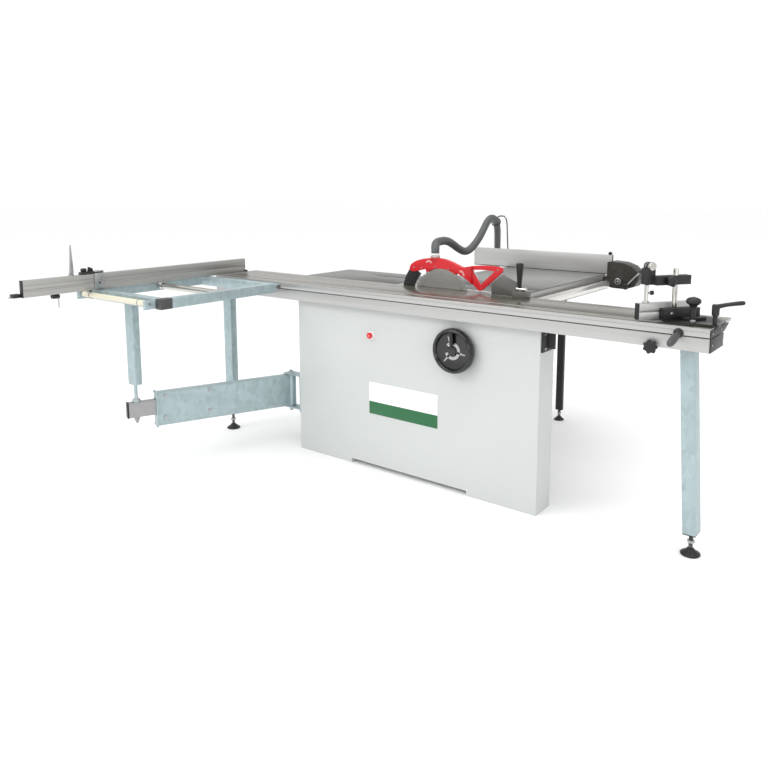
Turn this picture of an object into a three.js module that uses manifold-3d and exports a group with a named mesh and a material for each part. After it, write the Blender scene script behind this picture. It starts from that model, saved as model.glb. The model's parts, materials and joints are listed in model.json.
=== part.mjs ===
// Panel saw: cabinet base, tilting saw unit, sliding table with outrigger, and rip fence.
// Millimetres, +Z up, +X along the sliding table towards the operator, +Y towards the rip fence.
// The pieces are laid out from the cabinet's front left corner. The last lines shift them so that
// the origin is on the floor, straight below the middle of the saw blade.
import * as THREE from "three";
import { mergeVertices } from "three/addons/utils/BufferGeometryUtils.js";
import Module from "manifold-3d";

const wasm = await Module();
wasm.setup();

// ---------------------------------------------------------------- driving dimensions
const GAP = 0.4; // clearance between pieces that touch
const TABLE_Z = 870; // working height of every table top
const COLUMN = { length: 1350, depth: 127, height: 784.6, wall: 4 };
const NOTCH = { x0: 349, x1: 1012, height: 22 }; // relief under the cabinet's long side
const BODY = { x0: 120, x1: 1000, depth: 600, height: 834.4, wall: 3 };
const BLADE = { x: 700, y: 262, radius: 157.5, rise: 100, thickness: 3.2, bore: 15 };
const ARBOR_Z = TABLE_Z - (BLADE.radius - BLADE.rise);
const SLIDE = { x0: -591, x1: 2001, y0: -40, y1: 251, split: 838 };
const BEAM = { y0: -38, y1: 132, z0: 785, z1: 835 };
const T_SLOT_Y = 20; // middle of the clamping groove in the sliding table
const CAST = { x0: -184, x1: 1098, y0: 254, y1: 613, depth: 35, skin: 10 };
const MOUTH = { x0: 440, x1: 975, y1: 316, slot: 267.5 }; // opening for blade and insert
const EXTENSION = { x0: 480, x1: 1098, y0: 614, y1: 1300, depth: 30, skin: 4 };
const BAR = { x: 1143, z: 828, radius: 20, y0: 262, y1: 1300 };
const RIP = { x0: 267, x1: 1142, y: 1272, thickness: 14, z0: 872, z1: 980 };
const OUTRIGGER = { x0: -640, x1: -60, y0: -770, y1: -95, width: 40, height: 45, roller: -800 };
const POST = { x: -395, y: -698, z0: 341, tube: 426 };
const PIVOT = { x: -90, y: 25 };
const ARM = { turn: -22.9, length: 692, half: 22.5, z0: 212, z1: 375, wall: 4 };
const INNER = { start: 150, end: 825, half: 17.5, z0: 268, z1: 340 };
const FENCE = { x0: -579, x1: -555, y0: -1115, y1: 135, z0: 873, z1: 948 };
const MITRE = { x: 1754, y: -36, turn: 55, length: 230, thickness: 22, z0: 875, z1: 935 };
const SECTOR = { x: 1903, y: 95, radius: 112, z0: 870.4, z1: 874.4 };
const HOSE = { radius: 20.5, sides: 8, steps: 42 };

// ---------------------------------------------------------------- materials
const paint = (color, roughness, metalness) => ({ color, roughness, metalness });
const PAINT_GREY = paint(0xd9dcda, 0.45, 0.0);
const GALVANISED = paint(0xadbcc0, 0.4, 0.8);
const ALUMINIUM = paint(0xb9bcbc, 0.35, 0.9);
const CAST_IRON = paint(0x77777a, 0.4, 0.9);
const STEEL = paint(0xa7a9ab, 0.3, 1.0);
const CHROME = paint(0xd8d8d8, 0.12, 1.0);
const BLACK_PLASTIC = paint(0x1b1c1e, 0.4, 0.0);
const DARK_METAL = paint(0x3d3d38, 0.5, 0.5);
const RED = paint(0xdf1b22, 0.35, 0.0);
const CREAM = paint(0xd8d2bd, 0.4, 0.1);
const RUBBER_GREY = paint(0x5b5c5e, 0.7, 0.0);

// ---------------------------------------------------------------- shape helpers
function solid(geometry) {
  const bare = geometry.clone();
  bare.deleteAttribute("normal");
  bare.deleteAttribute("uv");
  const merged = mergeVertices(bare, 1e-4);
  return new wasm.Manifold(
    new wasm.Mesh({
      numProp: 3,
      vertProperties: new Float32Array(merged.attributes.position.array),
      triVerts: new Uint32Array(merged.index.array),
    }),
  );
}

function toGeometry(body) {
  const mesh = body.getMesh();
  const count = mesh.numProp;
  const positions = new Float32Array((mesh.vertProperties.length / count) * 3);
  for (let i = 0; i < positions.length / 3; i++)
    positions.set(mesh.vertProperties.subarray(i * count, i * count + 3), i * 3);
  const geometry = new THREE.BufferGeometry();
  geometry.setAttribute("position", new THREE.BufferAttribute(positions, 3));
  geometry.setIndex(new THREE.BufferAttribute(new Uint32Array(mesh.triVerts), 1));
  geometry.computeVertexNormals();
  return geometry;
}

const box = (x0, x1, y0, y1, z0, z1) =>
  solid(
    new THREE.BoxGeometry(x1 - x0, y1 - y0, z1 - z0).translate(
      (x0 + x1) / 2,
      (y0 + y1) / 2,
      (z0 + z1) / 2,
    ),
  );

// A round bar along X, Y or Z; its two other coordinates are given in X, Y, Z order.
function rod(axis, a, b, from, to, radius, endRadius = radius, segments = 20) {
  const shape = new THREE.CylinderGeometry(endRadius, radius, to - from, segments);
  if (axis === "z") shape.rotateX(Math.PI / 2).translate(a, b, (from + to) / 2);
  if (axis === "y") shape.translate(a, (from + to) / 2, b);
  if (axis === "x") shape.rotateZ(-Math.PI / 2).translate((from + to) / 2, a, b);
  return solid(shape);
}

// An outline pushed along an axis. Its points are (y, z) for X, (x, z) for Y and (x, y) for Z.
function prism(axis, outline, from, to, curveSegments = 12) {
  const shape = Array.isArray(outline)
    ? new THREE.Shape(outline.map(([u, v]) => new THREE.Vector2(u, v)))
    : outline;
  const options = { depth: to - from, bevelEnabled: false, curveSegments };
  const geometry = new THREE.ExtrudeGeometry(shape, options);
  const matrix = new THREE.Matrix4();
  if (axis === "x") matrix.set(0, 0, 1, from, 1, 0, 0, 0, 0, 1, 0, 0, 0, 0, 0, 1);
  if (axis === "y") matrix.set(1, 0, 0, 0, 0, 0, -1, to, 0, 1, 0, 0, 0, 0, 0, 1);
  if (axis === "z") matrix.makeTranslation(0, 0, from);
  return solid(geometry.applyMatrix4(matrix));
}

// A turned piece on an upright axis; the profile is (radius, z) and starts and ends on the axis.
const turned = (profile, segments = 20) =>
  solid(
    new THREE.LatheGeometry(
      profile.map(([r, z]) => new THREE.Vector2(r, z)),
      segments,
    ).rotateX(Math.PI / 2),
  );

const join = (...bodies) => bodies.reduce((all, next) => all.add(next));
const cut = (body, ...tools) => tools.reduce((left, tool) => left.subtract(tool), body);
const onCircle = (x, y, radius, degrees) => [
  x + radius * Math.cos(THREE.MathUtils.degToRad(degrees)),
  y + radius * Math.sin(THREE.MathUtils.degToRad(degrees)),
];
const arc = (x, y, radius, from, to, steps) =>
  Array.from({ length: steps + 1 }, (_, i) =>
    onCircle(x, y, radius, from + ((to - from) * i) / steps),
  );

const smoothPath = (points) =>
  new THREE.CatmullRomCurve3(points.map((p) => new THREE.Vector3(...p)), false, "centripetal");

function tubeAlong(curve, radius, sides, steps) {
  const section = new THREE.Shape(
    arc(0, 0, radius, 0, 360 - 360 / sides, sides - 1).map(([u, v]) => new THREE.Vector2(u, v)),
  );
  return solid(
    new THREE.ExtrudeGeometry(section, { steps, extrudePath: curve, bevelEnabled: false }),
  );
}

// A square steel tube standing upright, closed on top and open below.
function uprightTube(x, y, width, depth, z0, z1, wall = 3) {
  const [w, d] = [width / 2, depth / 2];
  const hollow = box(x - w + wall, x + w - wall, y - d + wall, y + d - wall, z0 - 1, z1 - wall);
  return cut(box(x - w, x + w, y - d, y + d, z0, z1), hollow);
}

// A levelling foot: round pad on the floor and a threaded rod up into its leg.
const levellingFoot = (x, y, top, pad = 36) =>
  turned([[0, 0], [pad, 0], [pad, 6], [pad * 0.45, 20], [8, 24], [8, top], [0, top]]).translate(
    [x, y, 0],
  );

const root = new THREE.Group();

function part(name, body, look, parent = root) {
  const mesh = new THREE.Mesh(toGeometry(body), new THREE.MeshStandardMaterial(look));
  mesh.name = name;
  parent.add(mesh);
  return mesh;
}

function groupAt(x, y, z = 0, turn = 0, parent = root) {
  const group = new THREE.Group();
  group.position.set(x, y, z);
  group.rotation.z = THREE.MathUtils.degToRad(turn);
  parent.add(group);
  return group;
}

// ---------------------------------------------------------------- cabinet
const BUTTON = { x: 475, z: 656 };
const WHEEL = { x: 957, z: 652, radius: 100 };
const TILT_WHEEL = { y: 350, z: 560, radius: 80 };
const PORT = { x: 300, z: 430, radius: 26, length: 40 };

function baseColumn() {
  const { length, depth, height, wall } = COLUMN;
  const floor = NOTCH.height;
  const inner = (x0, x1, z0, z1) => box(x0, x1, wall, depth - wall, z0, z1);
  return cut(
    box(0, length, 0, depth, 0, height),
    box(NOTCH.x0, NOTCH.x1, -1, depth + 1, -1, floor),
    inner(wall, length - wall, floor + wall, height - wall),
    inner(wall, NOTCH.x0 - wall, -1, floor),
    inner(NOTCH.x1 + wall, length - wall, -1, floor),
    box(BODY.x0 + 10, BODY.x1 - 10, depth - wall - 1, depth + 1, floor + wall, height - wall),
    rod("y", WHEEL.x, WHEEL.z, -1, wall + 1, 9),
    rod("y", BUTTON.x, BUTTON.z, -1, wall + 1, 7),
  );
}

function rearBody() {
  const { x0, x1, depth, height, wall } = BODY;
  const front = COLUMN.depth + GAP;
  const shell = cut(
    box(x0, x1, front, depth, 0, height),
    box(x0 + wall, x1 - wall, front - 1, depth - wall, wall, height + 1),
    rod("x", TILT_WHEEL.y, TILT_WHEEL.z, x1 - wall - 1, x1 + 1, 9),
    box(x0 - 1, x1 + 1, front - 1, BEAM.y1 + GAP, COLUMN.height, height + 1),
  );
  return cut(
    shell.add(rod("y", PORT.x, PORT.z, depth - 1, depth + PORT.length, PORT.radius)),
    rod("y", PORT.x, PORT.z, depth - wall - 1, depth + PORT.length + 1, PORT.radius - 3),
  );
}

part("base_cabinet", baseColumn(), PAINT_GREY);
part("rear_cabinet", rearBody(), PAINT_GREY);

const button = join(
  rod("y", BUTTON.x, BUTTON.z, -18, -6, 14, 15),
  rod("y", BUTTON.x, BUTTON.z, -6.5, 12, 6),
);
part("stop_button", button, RED);

// Handwheels: a dished wheel on a short shaft, drawn on an upright axis and then laid down.
const handwheel = (radius) =>
  turned([
    [0, -30],
    [8, -30],
    [8, 8],
    [22, 8],
    [22, 26],
    [radius - 20, 28],
    [radius - 16, 12],
    [radius - 6, 12],
    [radius, 24],
    [radius, 44],
    [radius - 8, 54],
    [radius - 16, 50],
    [radius - 20, 38],
    [22, 38],
    [20, 44],
    [0, 44],
  ]);
part(
  "height_handwheel",
  handwheel(WHEEL.radius).rotate([90, 0, 0]).translate([WHEEL.x, 0, WHEEL.z]),
  BLACK_PLASTIC,
);
part(
  "tilt_handwheel",
  handwheel(TILT_WHEEL.radius).rotate([0, 90, 0]).translate([BODY.x1, TILT_WHEEL.y, TILT_WHEEL.z]),
  BLACK_PLASTIC,
);
part(
  "handwheel_handle",
  rod("z", WHEEL.x, -47.5, WHEEL.z + 26, WHEEL.z + 76, 9, 6.5),
  BLACK_PLASTIC,
);

// ---------------------------------------------------------------- fixed tables
// A plate with pockets cut from below, so that ribs are left between them.
function ribbedPlate(x0, x1, y0, y1, depth, skin, rib, columns, rows) {
  const pockets = [];
  const stepX = (x1 - x0 - rib) / columns;
  const stepY = (y1 - y0 - rib) / rows;
  for (let i = 0; i < columns; i++)
    for (let j = 0; j < rows; j++) {
      const px = x0 + rib + i * stepX;
      const py = y0 + rib + j * stepY;
      const bottom = TABLE_Z - depth - 1;
      pockets.push(box(px, px + stepX - rib, py, py + stepY - rib, bottom, TABLE_Z - skin));
    }
  return cut(box(x0, x1, y0, y1, TABLE_Z - depth, TABLE_Z), ...pockets);
}

function castTable() {
  const { x0, x1, y0, y1, depth, skin } = CAST;
  return cut(
    ribbedPlate(x0, x1, y0, y1, depth, skin, 12, 6, 2),
    box(MOUTH.x0, MOUTH.x1, y0 - 1, MOUTH.y1, TABLE_Z - depth - 1, TABLE_Z + 1),
    box(MOUTH.x0, MOUTH.x1, MOUTH.y1 - 1, y1 - 12, TABLE_Z - depth - 1, TABLE_Z - skin - 2),
    box(143, x1 + 1, 462, 480, TABLE_Z - 7, TABLE_Z + 1),
  );
}

function tableInsert() {
  const { x0, x1, y1, slot } = MOUTH;
  const thickness = 5;
  return cut(
    box(x0 + GAP, x1 - GAP, CAST.y0, y1 - GAP, TABLE_Z - thickness, TABLE_Z),
    box(x0 + 25, x1 - 15, CAST.y0 - 1, slot, TABLE_Z - thickness - 1, TABLE_Z + 1),
  );
}

part("cast_iron_table", castTable(), CAST_IRON);
part("table_insert", tableInsert(), ALUMINIUM);
part(
  "table_extension",
  ribbedPlate(
    EXTENSION.x0,
    EXTENSION.x1 - GAP,
    EXTENSION.y0,
    EXTENSION.y1,
    EXTENSION.depth,
    EXTENSION.skin,
    4,
    3,
    3,
  ),
  STEEL,
);
part(
  "extension_leg",
  join(
    box(850, 890, 1239, 1265, 60, TABLE_Z - EXTENSION.depth - GAP),
    levellingFoot(870, 1252, 70, 28),
  ),
  BLACK_PLASTIC,
);

// ---------------------------------------------------------------- rip fence and its rail
part(
  "scale_rail",
  prism(
    "y",
    [
      [CAST.x1 + GAP, 790],
      [1112, 790],
      [1112, 840],
      [1106, 840],
      [1106, 848],
      [1112, 848],
      [1112, 866],
      [CAST.x1 + GAP, 866],
    ],
    256,
    BAR.y1,
  ),
  ALUMINIUM,
);

function railBar() {
  const standoffs = [330, 650, 970, 1262].map((y) => rod("x", y, BAR.z, 1112.3, BAR.x, 8, 8, 12));
  return join(rod("y", BAR.x, BAR.z, BAR.y0, BAR.y1, BAR.radius, BAR.radius, 32), ...standoffs);
}
part("rail_bar", railBar(), CHROME);

// The head is a casting that sits over the round bar; an arm on it holds the fence plate.
function fenceHead() {
  const saddle = arc(BAR.x, BAR.z, BAR.radius + 0.8, -40, 150, 14);
  const outline = [
    [1124, 868],
    [1124, 838.5],
    ...saddle.reverse(),
    [1168, 812],
    [1184, 810],
    [1250, 808],
    [1296, 824],
    [1318, 862],
    [1312, 900],
    [1280, 930],
    [1232, 947],
    [1165, 952],
    [1146, 948],
    [1146, 868],
  ];
  return join(
    prism("y", outline, 1195, 1290),
    box(1060, 1160, RIP.y + RIP.thickness + GAP, 1304, 885, 945),
    rod("y", 1209, 848, 1190.5, 1196, 15),
  );
}
part("fence_head", fenceHead(), DARK_METAL);

function fencePlate() {
  const { x0, x1, y, thickness, z0, z1 } = RIP;
  const groove = (z) => box(x0 - 1, x1 + 1, y + thickness - 5, y + thickness + 1, z, z + 8);
  return cut(box(x0, x1, y, y + thickness, z0, z1), groove(890), groove(930), groove(964));
}
part("fence_plate", fencePlate(), ALUMINIUM);

const LEVER = { x: 1255, z: 825 };
const leverBar = prism(
  "y",
  [
    [LEVER.x + 6, LEVER.z - 3],
    [1336, 908],
    [1328, 915],
    [LEVER.x - 4, LEVER.z + 6],
  ],
  1182,
  1190,
);
part(
  "fence_lever",
  join(rod("y", LEVER.x, LEVER.z, 1170, 1194.5, 17, 14), leverBar),
  BLACK_PLASTIC,
);

// ---------------------------------------------------------------- fixed beam and its legs
part(
  "table_beam",
  prism(
    "x",
    [
      [BEAM.y0, BEAM.z0],
      [BEAM.y1, BEAM.z0],
      [BEAM.y1, BEAM.z1],
      [104, BEAM.z1],
      [104, 800],
      [-10, 800],
      [-10, BEAM.z1],
      [BEAM.y0, BEAM.z1],
    ],
    SLIDE.x0,
    SLIDE.x1,
  ),
  ALUMINIUM,
);
part(
  "beam_end_cap",
  box(SLIDE.x1 + GAP, SLIDE.x1 + 4, BEAM.y0, BEAM.y1, BEAM.z0, BEAM.z1),
  BLACK_PLASTIC,
);
part(
  "beam_bracket",
  join(
    box(COLUMN.length + GAP, COLUMN.length + 8, 8, 124, 690, BEAM.z0 - GAP),
    box(COLUMN.length + GAP, COLUMN.length + 46, 8, 124, 776, BEAM.z0 - GAP),
    box(COLUMN.length + 8, COLUMN.length + 36, 60, 68, 700, 780),
  ),
  BLACK_PLASTIC,
);
// The right leg splays outwards, so that its foot stands further out than its top.
function splayedLeg() {
  const top = BEAM.z0 - GAP;
  const side = [[1931, 87], [1979, 87], [1934, top], [1886, top]];
  return cut(prism("y", side, 21, 93), box(1942, 1968, 44, 70, 86, 165));
}
part("right_leg", splayedLeg(), GALVANISED);
part("right_foot", levellingFoot(1955, 57, 150), BLACK_PLASTIC);
part("left_leg", uprightTube(-532, 0, 60, 40, 106, BEAM.z0 - GAP), GALVANISED);
part("left_foot", levellingFoot(-532, 0, 160), BLACK_PLASTIC);

const LOCK = { x: 1808, z: 789 };
function starKnob(radius, lobes, height) {
  const lobe = (i) => {
    const [x, y] = onCircle(0, 0, radius * 0.7, (360 / lobes) * i);
    return rod("z", x, y, 0, height, radius * 0.32, radius * 0.32, 10);
  };
  return join(
    rod("z", 0, 0, 0, height, radius * 0.78),
    ...Array.from({ length: lobes }, (_, i) => lobe(i)),
  );
}
part(
  "table_lock_knob",
  join(starKnob(27, 7, 20), rod("z", 0, 0, -16, 0.5, 9))
    .rotate([90, 0, 0])
    .translate([LOCK.x, BEAM.y0 - 16 - GAP, LOCK.z]),
  BLACK_PLASTIC,
);

// ---------------------------------------------------------------- sliding table
part(
  "sliding_table",
  prism(
    "x",
    [
      [SLIDE.y0, SLIDE.split],
      [-8, SLIDE.split],
      [-8, 852],
      [102, 852],
      [102, SLIDE.split],
      [140, SLIDE.split],
      [205, 860],
      [240, 860],
      [SLIDE.y1, 866],
      [SLIDE.y1, TABLE_Z],
      [T_SLOT_Y + 7, TABLE_Z],
      [T_SLOT_Y + 7, 864],
      [T_SLOT_Y + 13, 864],
      [T_SLOT_Y + 13, 856],
      [T_SLOT_Y - 13, 856],
      [T_SLOT_Y - 13, 864],
      [T_SLOT_Y - 7, 864],
      [T_SLOT_Y - 7, TABLE_Z],
      [SLIDE.y0, TABLE_Z],
    ],
    SLIDE.x0,
    SLIDE.x1,
  ),
  ALUMINIUM,
);
part(
  "table_end_cap",
  prism(
    "x",
    [
      [SLIDE.y0, SLIDE.split],
      [140, SLIDE.split],
      [205, 859],
      [SLIDE.y0, 866],
    ],
    SLIDE.x1 + GAP,
    SLIDE.x1 + 4,
  ),
  BLACK_PLASTIC,
);

const GRIP = { x: 1897, z: 846, droop: 14 };
part(
  "push_grip",
  join(
    rod("y", GRIP.x, GRIP.z, SLIDE.y0 - GAP - 11, SLIDE.y0 - GAP, 16),
    turned([[0, 6], [9, 6], [10, 20], [13.5, 50], [13.5, 82], [8, 104], [0, 108]])
      .rotate([90 + GRIP.droop, 0, 0])
      .translate([GRIP.x, SLIDE.y0 - GAP, GRIP.z]),
  ),
  RUBBER_GREY,
);

// The roller carriage runs between beam and table, and moves half as far as the table.
function rollerCarriage() {
  const middle = (SLIDE.x0 + SLIDE.x1) / 2;
  const wheels = [-450, 0, 450].flatMap((offset) => {
    const x = middle + offset;
    const wheel = (y) => rod("y", x, 826, y, y + 20, 24.7, 24.7, 16);
    return [rod("y", x, 826, 2, 92, 5, 5, 8), wheel(0), wheel(74)];
  });
  return join(box(middle - 490, middle + 490, 38, 56, 816, 836), ...wheels);
}
part("roller_carriage", rollerCarriage(), STEEL);

// ---------------------------------------------------------------- outrigger
function outriggerFrame() {
  const { x0, x1, y0, y1, width, height } = OUTRIGGER;
  const z0 = TABLE_Z - height;
  const ear = (x) => box(x, x + 12, OUTRIGGER.roller - 25, y0 + 5, z0 + 2, TABLE_Z - 4);
  return join(
    box(x0, x0 + width, y0, y1, z0, TABLE_Z),
    box(x1 - width, x1, y0, y1, z0, TABLE_Z),
    box(x0, x1, y0, y0 + width, z0, TABLE_Z),
    box(x0, x1, y1 - width, y1, z0, TABLE_Z),
    box(x0, x1, POST.y - 20, POST.y + 20, z0, z0 + 20),
    box(x0 + 30, x1 - 30, y1 - 1, SLIDE.y0 - GAP, z0 + 14, z0 + 34),
    ear(x0),
    ear(x1 - 52),
  );
}
part("outrigger_frame", outriggerFrame(), GALVANISED);
const rollerOf = (y, x0, x1, radius) =>
  join(
    rod("x", y, 850, x0 + 6, x1 - 6, radius, radius, 20),
    rod("x", y, 850, x0, x1, 6, 6, 12),
  );
part("outer_roller", rollerOf(OUTRIGGER.roller, -627, -112.5, 13), CREAM);
part("middle_roller", rollerOf(-400, -599.5, -100.5, 16), CREAM);

function outriggerPost() {
  const { x, y, z0, tube } = POST;
  const top = TABLE_Z - OUTRIGGER.height - GAP;
  const hollow = box(x - 27, x + 27, y - 14.5, y + 14.5, tube + 4, top + 1);
  return join(
    cut(box(x - 30, x + 30, y - 17.5, y + 17.5, tube, top), hollow),
    turned([[0, z0], [19, z0], [19, z0 + 5], [8, z0 + 18], [8, tube + 1], [0, tube + 1]]).translate(
      [x, y, 0],
    ),
  );
}
part("outrigger_post", outriggerPost(), GALVANISED);

// ---------------------------------------------------------------- crosscut fence
function crosscutFence() {
  const { x0, x1, y0, y1, z0, z1 } = FENCE;
  const groove = (z) => box(x1 - 3, x1 + 1, y0 - 1, y1 + 1, z, z + 3);
  return join(
    cut(
      box(x0, x1, y0, y1, z0, z1),
      box(x0 - 1, x0 + 12, y0 - 1, y1 + 1, z0 + 20, z1 - 14),
      groove(z0 + 32),
    ),
    box(x0 - 24, x0 + 1, y0 - 45, y0 + 260, z0, z0 + 4),
  );
}
part("crosscut_fence", crosscutFence(), ALUMINIUM);
part(
  "fence_clamp_knob",
  join(starKnob(20, 6, 20), rod("z", 0, 0, 20, 24, 7))
    .translate([FENCE.x0 - 12, -955, FENCE.z0 - 24 - GAP]),
  BLACK_PLASTIC,
);
part(
  "flip_stop",
  prism(
    "x",
    [
      [-902, 949],
      [-878, 949],
      [-878, 975],
      [-884, 1089],
      [-888, 1089],
      [-896, 975],
    ],
    FENCE.x1 - 10,
    FENCE.x1 - 4,
  ),
  STEEL,
);
const STOP = { y0: -782, y1: -735 };
part(
  "length_stop",
  join(
    box(FENCE.x1 + GAP, FENCE.x1 + 6, STOP.y0, STOP.y1, 877, 962),
    box(FENCE.x0 - 6, FENCE.x1 + 6, STOP.y0 - 60, STOP.y1, FENCE.z1 + GAP, 962),
    box(FENCE.x0 - 6, FENCE.x0 - GAP, STOP.y0 - 60, STOP.y1, 905, 962),
    starKnob(14, 5, 16).translate([FENCE.x0 + 10, STOP.y0 - 42, 961]),
    box(FENCE.x0 + 4, FENCE.x0 + 10, STOP.y0 - 22, STOP.y0 + 18, 961, 982),
  ),
  DARK_METAL,
);

// ---------------------------------------------------------------- mitre fence and clamp
function mitreBase() {
  const { x, y, radius, z0, z1 } = SECTOR;
  return join(
    rod("z", x, y, z0, z1, radius, radius, 48),
    box(1884, 2016, T_SLOT_Y - 20, T_SLOT_Y + 20, z0, z1 + 4),
    box(1890, 1996, T_SLOT_Y - 6, T_SLOT_Y + 6, 865, z0 + 1),
  );
}
part("mitre_base", mitreBase(), DARK_METAL);
const KNOB = { x: 1925, z0: 879 };
part(
  "mitre_knob",
  turned([
    [0, 0],
    [11, 0],
    [8, 14],
    [9, 58],
    [22, 66],
    [26, 76],
    [20, 86],
    [0, 90],
  ]).translate([KNOB.x, T_SLOT_Y, KNOB.z0]),
  BLACK_PLASTIC,
);
const RATCHET = { x: 2000, z0: 879, z1: 950 };
part(
  "ratchet_lever",
  join(
    rod("z", RATCHET.x, T_SLOT_Y, RATCHET.z0, 910, 8),
    rod("z", RATCHET.x, T_SLOT_Y, 909, RATCHET.z1, 12, 13),
    prism("y", [[1994, 928], [2030, 943], [2093, 955], [2093, 970], [2030, 963], [1994, 950]], 12, 28),
  ),
  BLACK_PLASTIC,
);

// Drawn along its own length: +X runs away from the operator's front corner of the fence.
const mitre = groupAt(MITRE.x, MITRE.y, 0, MITRE.turn);
const PILLAR = { x: 135, y: -17, radius: 9, z0: 915.4, z1: 1060 };
const PLUNGER = { x: 32, y: 9, radius: 7 };
function mitreFence() {
  const { length, thickness, z0, z1 } = MITRE;
  const groove = (z) => box(-1, length + 1, -1, 3, z, z + 6);
  return join(
    cut(box(0, length, 0, thickness, z0, z1), groove(z1 - 34)),
    box(85, 235, -34, 0.5, z0, PILLAR.z0 - GAP),
    box(150, 235, -70, -33, z0, z0 + 10),
  );
}
part("mitre_fence", mitreFence(), ALUMINIUM, mitre);
part(
  "clamp_pillar",
  cut(
    rod("z", PILLAR.x, PILLAR.y, PILLAR.z0, PILLAR.z1, PILLAR.radius),
    rod("x", PILLAR.y, PILLAR.z1 - 12, PILLAR.x - 12, PILLAR.x + 12, 3, 3, 12),
  ),
  CHROME,
  mitre,
);
part(
  "clamp_arm",
  cut(
    join(
      box(45, 190, -33, -1, 1003, 1036),
      prism("z", [[18, -10], [54, -10], [54, 24], [18, 24]], 1003, 1062),
      rod("y", 42, 1068, -8, 22, 16),
    ),
    rod("z", PILLAR.x, PILLAR.y, 1000, 1040, PILLAR.radius + 0.4),
    rod("z", PLUNGER.x, PLUNGER.y, 1000, 1042, PLUNGER.radius + 0.4),
  ),
  BLACK_PLASTIC,
  mitre,
);
part(
  "clamp_plunger",
  join(
    rod("z", PLUNGER.x, PLUNGER.y, 935.6, 942, 12),
    rod("z", PLUNGER.x, PLUNGER.y, 941, 1018, PLUNGER.radius),
  ),
  STEEL,
  mitre,
);
part(
  "clamp_knob",
  join(starKnob(21, 5, 18), rod("z", 0, 0, -8, 0.5, 6))
    .rotate([90, 0, 0])
    .translate([94, -33 - 8 - GAP, 1018]),
  BLACK_PLASTIC,
  mitre,
);

// ---------------------------------------------------------------- edging shoe
part(
  "edging_shoe",
  join(
    prism("y", [[992, 872], [1119, 872], [1119, 932], [1046, 963], [992, 921]], 224, 238),
    box(1112, 1181, 194, 238, 870.6, 899),
    rod("x", 216, 908, 1125, 1169, 8),
    box(1140, 1154, 208, 224, 898, 908),
  ),
  DARK_METAL,
);
part(
  "shoe_handle",
  turned([[0, 916.5], [9, 916.5], [10, 930], [16.5, 1010], [16.5, 1019], [13, 1023], [0, 1023]])
    .translate([1137, 216, 0]),
  BLACK_PLASTIC,
);

// ---------------------------------------------------------------- swing arm
const bracketPlate = (z) => box(PIVOT.x - 28, -1, PIVOT.y - 28, PIVOT.y + 28, z, z + 6);
part(
  "arm_bracket",
  join(
    box(-7, -GAP, PIVOT.y - 23, PIVOT.y + 35, 188, 398),
    bracketPlate(379),
    bracketPlate(202),
    rod("z", PIVOT.x, PIVOT.y, 188, 392, 10),
  ),
  GALVANISED,
);

// The arm points along its own -Y; its box is open at the outer end for the sliding inner beam.
const arm = groupAt(PIVOT.x, PIVOT.y, 0, ARM.turn);
function swingArm() {
  const { length, half, z0, z1, wall } = ARM;
  const bolt = (s, z) => rod("x", -s, z, -half - 5, half + 5, 8, 8, 6);
  return cut(
    join(
      rod("z", 0, 0, 208.4, 378.6, 26, 26, 28),
      cut(
        box(-half, half, -length, -15, z0, z1),
        box(wall - half, half - wall, -length - 1, -60, z0 + wall, z1 - wall),
      ),
      cut(
        box(-30, 30, -length - 6, -length, z0 - 6, z1 + 6),
        box(-18.5, 18.5, -length - 7, 1 - length, 262, 346),
      ),
      bolt(655, 355.5),
      bolt(655, 252.5),
      bolt(440, 355.5),
      bolt(440, 252.5),
    ),
    rod("z", 0, 0, 205, 382, 10.4),
  );
}
part("swing_arm", swingArm(), GALVANISED, arm);
function innerBeam() {
  const { start, end, half, z0, z1 } = INNER;
  const reach = Math.hypot(POST.x - PIVOT.x, POST.y - PIVOT.y);
  return join(
    cut(
      box(-half, half, -end, -start, z0, z1),
      box(3 - half, half - 3, -end - 1, 1 - start, z0 + 3, z1 - 3),
    ),
    turned([[0, z0 - 34], [3, z0 - 34], [13, z0 - 12], [13, z0 + 4], [0, z0 + 4]]).translate([
      0,
      -reach,
      0,
    ]),
  );
}
part("arm_inner_beam", innerBeam(), ALUMINIUM, arm);

// ---------------------------------------------------------------- saw unit
const saw = groupAt(BLADE.x, BLADE.y, ARBOR_Z);
const MOTOR = { x: 60, z: -172.5 }; // from the arbor
const half = BLADE.thickness / 2;
part(
  "saw_blade",
  cut(
    rod("y", 0, 0, -half, half, BLADE.radius, BLADE.radius, 60),
    rod("y", 0, 0, -half - 1, half + 1, BLADE.bore),
  ),
  STEEL,
  saw,
);
part(
  "arbor",
  join(
    rod("y", 0, 0, -16, -6, 19, 19, 6),
    rod("y", 0, 0, -6, -half - GAP, 30),
    rod("y", 0, 0, -7, 136, BLADE.bore - 0.3),
    rod("y", 0, 0, half + GAP, 9, 30),
    rod("y", 0, 0, 112, 136, 35),
  ),
  STEEL,
  saw,
);
part(
  "motor_pulley",
  join(rod("y", MOTOR.x, MOTOR.z, 112, 136, 45), rod("y", MOTOR.x, MOTOR.z, 135, 142, 12)),
  CAST_IRON,
  saw,
);

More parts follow.
